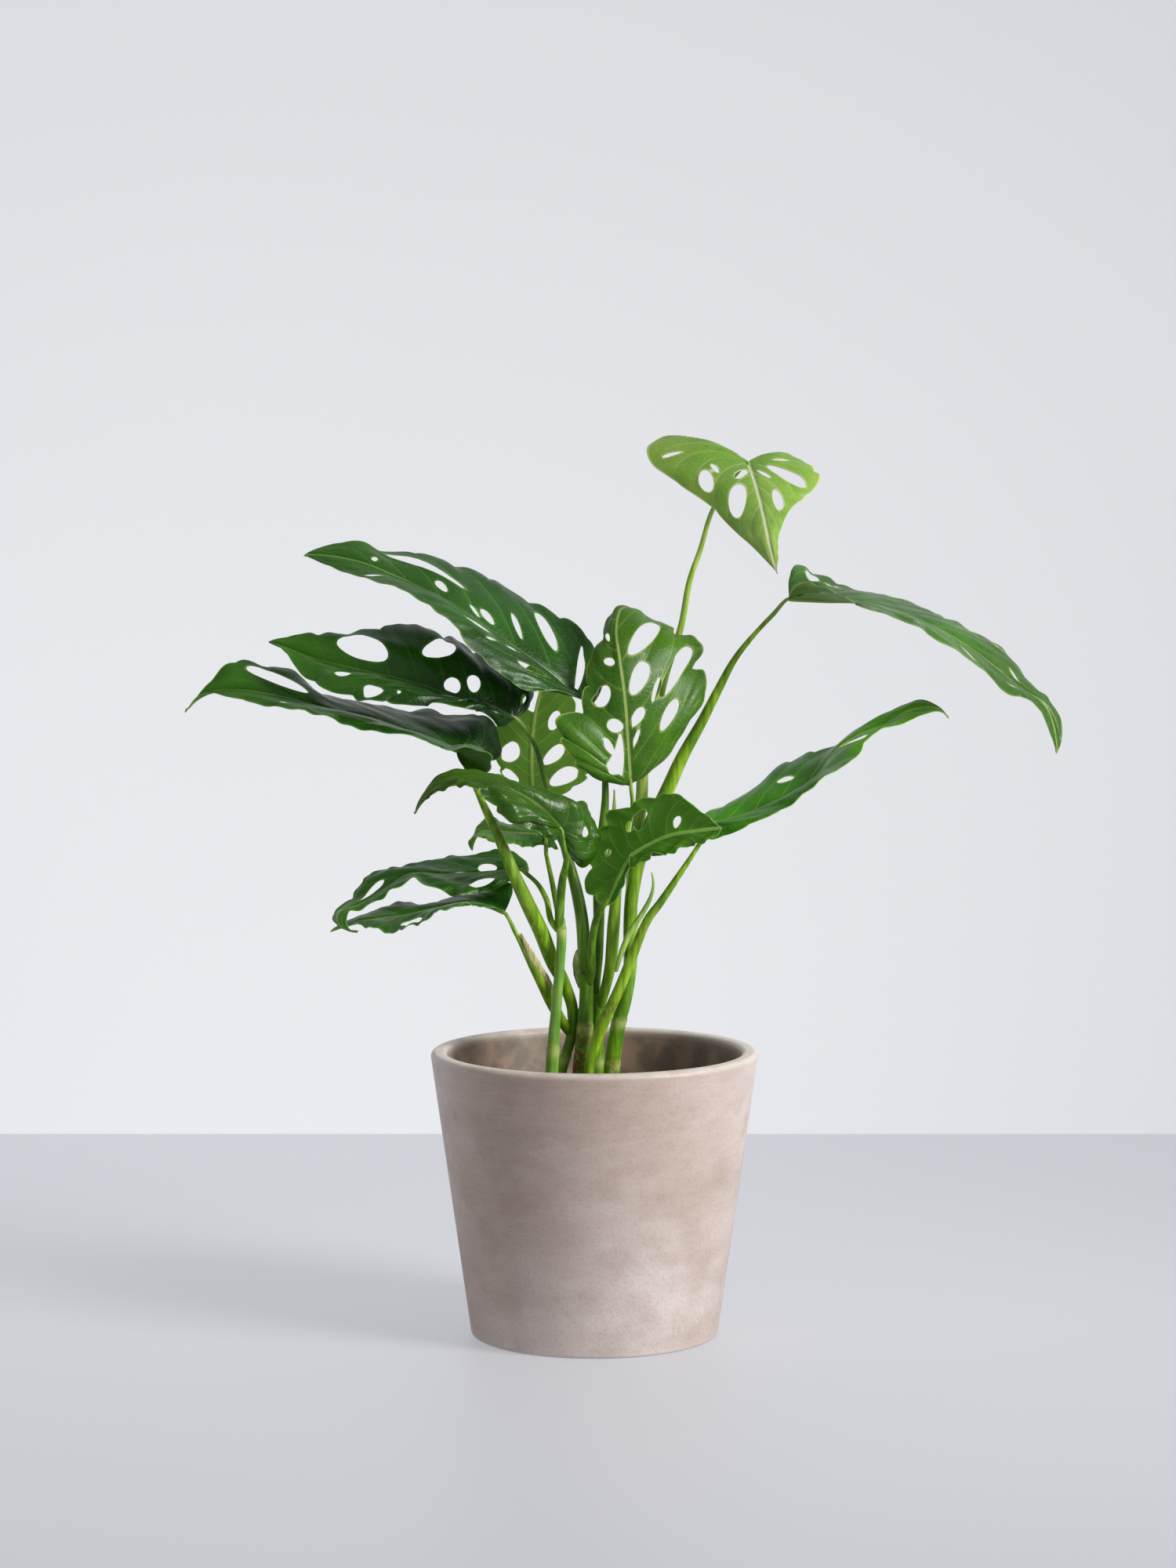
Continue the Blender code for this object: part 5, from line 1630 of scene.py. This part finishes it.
    def build_sheaths(self) -> None:
        """The dry sheaths: flattened papery sweeps with a dark edge."""
        paper = PaperySheath("dried_bract").build()
        green_paper = PaperySheath("green_bract", "#9DB063", "#6F7F35", "#5A2E22").build()
        shapes = {
            "slender_sheath": (
                ((-22, -9, 206), (-29.5, -13.5, 219), (-37, -19, 233), (-44.5, -22, 249)),
                (1.6, 3.0, 2.8, 0.6), paper,
            ),
            "centre_sheath": (
                ((-8.6, -2.6, 214), (-11, -1, 224), (-11.6, 1, 231), (-10.8, 2, 236)),
                (1.4, 2.2, 1.8, 0.5), green_paper,
            ),
            "long_sheath": (
                ((8.5, 5.2, 292), (11, 6, 306), (12, 6, 320), (12, 6, 334)),
                (1.2, 2.0, 1.5, 0.4), green_paper,
            ),
        }

        def section(along: Array, angle: Array, place: Array) -> Array:
            """Flatten the section to about a third across and curl it a little."""
            flat = np.sqrt(1 / (np.cos(angle) ** 2 * 7 + np.sin(angle) ** 2))
            return flat * (1 + 0.1 * wander(along * 20 + angle, 7))

        def values(along: Array, angle: Array, place: Array) -> dict[str, Array]:
            """Dark along one edge and at the torn tip."""
            edge = 0.9 * bell(np.abs(angle) - math.pi / 2, 0.25) * (angle > 0)
            return {"cork": np.clip(edge + np.clip((along - 0.85) * 6, 0, 1), 0, 1)}

        for name, (route, radii, material) in shapes.items():
            piece = Sweep(route, radii, step=0.9).build(name.replace("sheath", "bract"), section, values)
            hand_over(piece, "dry_sheath", material, name)


# Deep, fresh and tip colour, then vein, midrib and underside, then roughness and the share of the tip colour
LEAF_SKINS = {
    "crown": LeafSkin(
        "youngest_blade", "#598A20", "#8CAB3D", "#A7BD5D", "#CDD0A7", "#D9D7B9", "#B9C393", 0.42, 0.4,
    ),
    "arching": LeafSkin(
        "arching_blade", "#194003", "#376B08", "#4C7B0D", "#7D9A4E", "#93AD5B", "#668723", 0.3, 0.4,
    ),
    "twisted": LeafSkin(
        "twisted_blade", "#215804", "#458C08", "#6FB015", "#9CCD61", "#B6E071", "#88B925", 0.33, 0.6,
    ),
    "upright": LeafSkin(
        "upright_blade", "#255003", "#477607", "#5D870E", "#8EA458", "#A0B163", "#6B871C", 0.36, 0.3,
    ),
    "long": LeafSkin(
        "long_blade", "#133708", "#255610", "#3E7513", "#638E3D", "#749B48", "#577A2E", 0.33, 0.4,
    ),
    "pierced": LeafSkin(
        "pierced_blade", "#052001", "#123D01", "#366B02", "#486F2D", "#568335", "#325D09", 0.3, 0.9,
    ),
    "trailing": LeafSkin(
        "trailing_blade", "#0B2E02", "#1C4E04", "#3F7507", "#60883C", "#779F4A", "#466F16", 0.3, 0.6,
    ),
    "back": LeafSkin(
        "rear_blade", "#4C7D22", "#679930", "#7DA93C", "#B0CC6D", "#C2DA78", "#7DA43E", 0.5, 0.2,
    ),
    "front": LeafSkin(
        "front_blade", "#184A02", "#357604", "#50910A", "#7EB54E", "#93C85B", "#598F16", 0.27, 0.3,
    ),
    "crumpled": LeafSkin(
        "crumpled_blade", "#123402", "#2F5905", "#4F720E", "#6A8442", "#7C934D", "#5C761C", 0.28, 0.6,
    ),
    "hooked": LeafSkin(
        "hooked_blade", "#184805", "#316D0C", "#4E8B11", "#82AC51", "#8EBA58", "#65932A", 0.32, 0.5,
    ),
    "slender": LeafSkin(
        "slender_blade", "#174406", "#2D630E", "#488115", "#6D9D44", "#7CAB4D", "#548626", 0.36, 0.5,
    ),
    "small": LeafSkin(
        "small_blade", "#2A6013", "#477F23", "#7AAA32", "#8DB457", "#A1C464", "#80AA4A", 0.4, 0.7,
    ),
}


@dataclass(frozen=True)
class Lamp:
    """A square area lamp: its size in metres, its power in watts and its spread in degrees."""

    name: str
    place: Point
    aim: Point
    size: float
    watts: float
    colour: Point
    spread: float

    def build(self) -> None:
        """Make the lamp and turn it to face the point that it aims at."""
        light = bpy.data.lights.new(self.name, "AREA")
        light.size, light.energy, light.color = self.size, self.watts, self.colour
        light.spread = math.radians(self.spread)
        holder = bpy.data.objects.new(self.name, light)
        holder.location = self.place
        away = Vector(self.place) - Vector(self.aim)
        holder.rotation_euler = away.to_track_quat("Z", "Y").to_euler()
        bpy.context.scene.collection.objects.link(holder)


LAMPS = (
    Lamp("window", (1.75, -1.05, 1.2), (0.0, 0.0, 0.3), 0.9, 5.8, (1.0, 0.985, 0.955), 50.0),
    Lamp("bounce", (-1.6, -1.5, 1.0), (0.0, 0.0, 0.3), 1.6, 0.4, (1.0, 0.97, 0.93), 120.0),
    Lamp("wash", (0.0, -0.75, 2.7), (0.0, 0.9, 0.6), 2.6, 3.4, (1.0, 1.0, 1.0), 150.0),
)


@dataclass
class Studio:
    """A pale floor and wall, a large soft lamp from the right, and a long lens a little above the rim."""

    camera_place: Point = (-0.00398, -2.4541, 0.5505)
    pitch_down: float = 0.0863
    lens: float = 92.96
    sensor: float = 36.0
    wall_distance: float = 0.705
    reach: float = 6.0
    wall_height: float = 5.0
    sky: Colour = (0.97, 0.98, 1.0, 1.0)
    sky_strength: float = 0.3

    def build(self) -> None:
        """Make the stage, the lights and the camera."""
        side, back, top = self.reach, self.wall_distance, self.wall_height
        floor = ((-side, -side, 0), (side, -side, 0), (side, side, 0), (-side, side, 0))
        wall = ((-side, back, 0), (side, back, 0), (side, back, top), (-side, back, top))
        self.plane("floor", floor, StudioPaint("floor_paint", "#97989D", "#95969B", 0.5, 0.97))
        self.plane("wall", wall, StudioPaint("wall_paint", "#B6B7BA", "#B4B5B8", 0.9, 0.93))
        for lamp in LAMPS:
            lamp.build()
        world = bpy.data.worlds.new("soft_sky")
        world.use_nodes = True
        background = world.node_tree.nodes["Background"]
        background.inputs["Color"].default_value = self.sky
        background.inputs["Strength"].default_value = self.sky_strength
        bpy.context.scene.world = world
        bpy.context.scene.view_settings.view_transform = "Standard"
        camera = bpy.data.cameras.new("camera")
        camera.lens = self.lens
        camera.sensor_width = self.sensor
        holder = bpy.data.objects.new("camera", camera)
        holder.location = self.camera_place
        holder.rotation_euler = (math.pi / 2 - self.pitch_down, 0.0, 0.0)
        bpy.context.scene.collection.objects.link(holder)
        bpy.context.scene.camera = holder

    def plane(self, name: str, corners: Route, paint: StudioPaint) -> None:
        """One flat stage piece, with its corners in metres."""
        piece = put_mesh(name, np.array(corners) / MM, [(0, 1, 2, 3)])
        piece.data.materials.append(paint.build())


def main() -> None:
    """Build the planter, its soil, the plant and the studio."""
    logging.basicConfig(level=logging.INFO, format="%(name)s: %(message)s", stream=sys.stdout)
    feet = [(route[0][0], route[0][1], radii[0]) for route, radii in (*CANES.values(), STALKS["twisted"])]
    Planter().build()
    SoilBed(clear=tuple(feet)).build()
    plant = Plant()
    plant.build_canes()
    plant.build_stalks()
    plant.build_blades()
    plant.build_new_leaf()
    plant.build_sheaths()
    Studio().build()


if __name__ == "__main__":
    main()
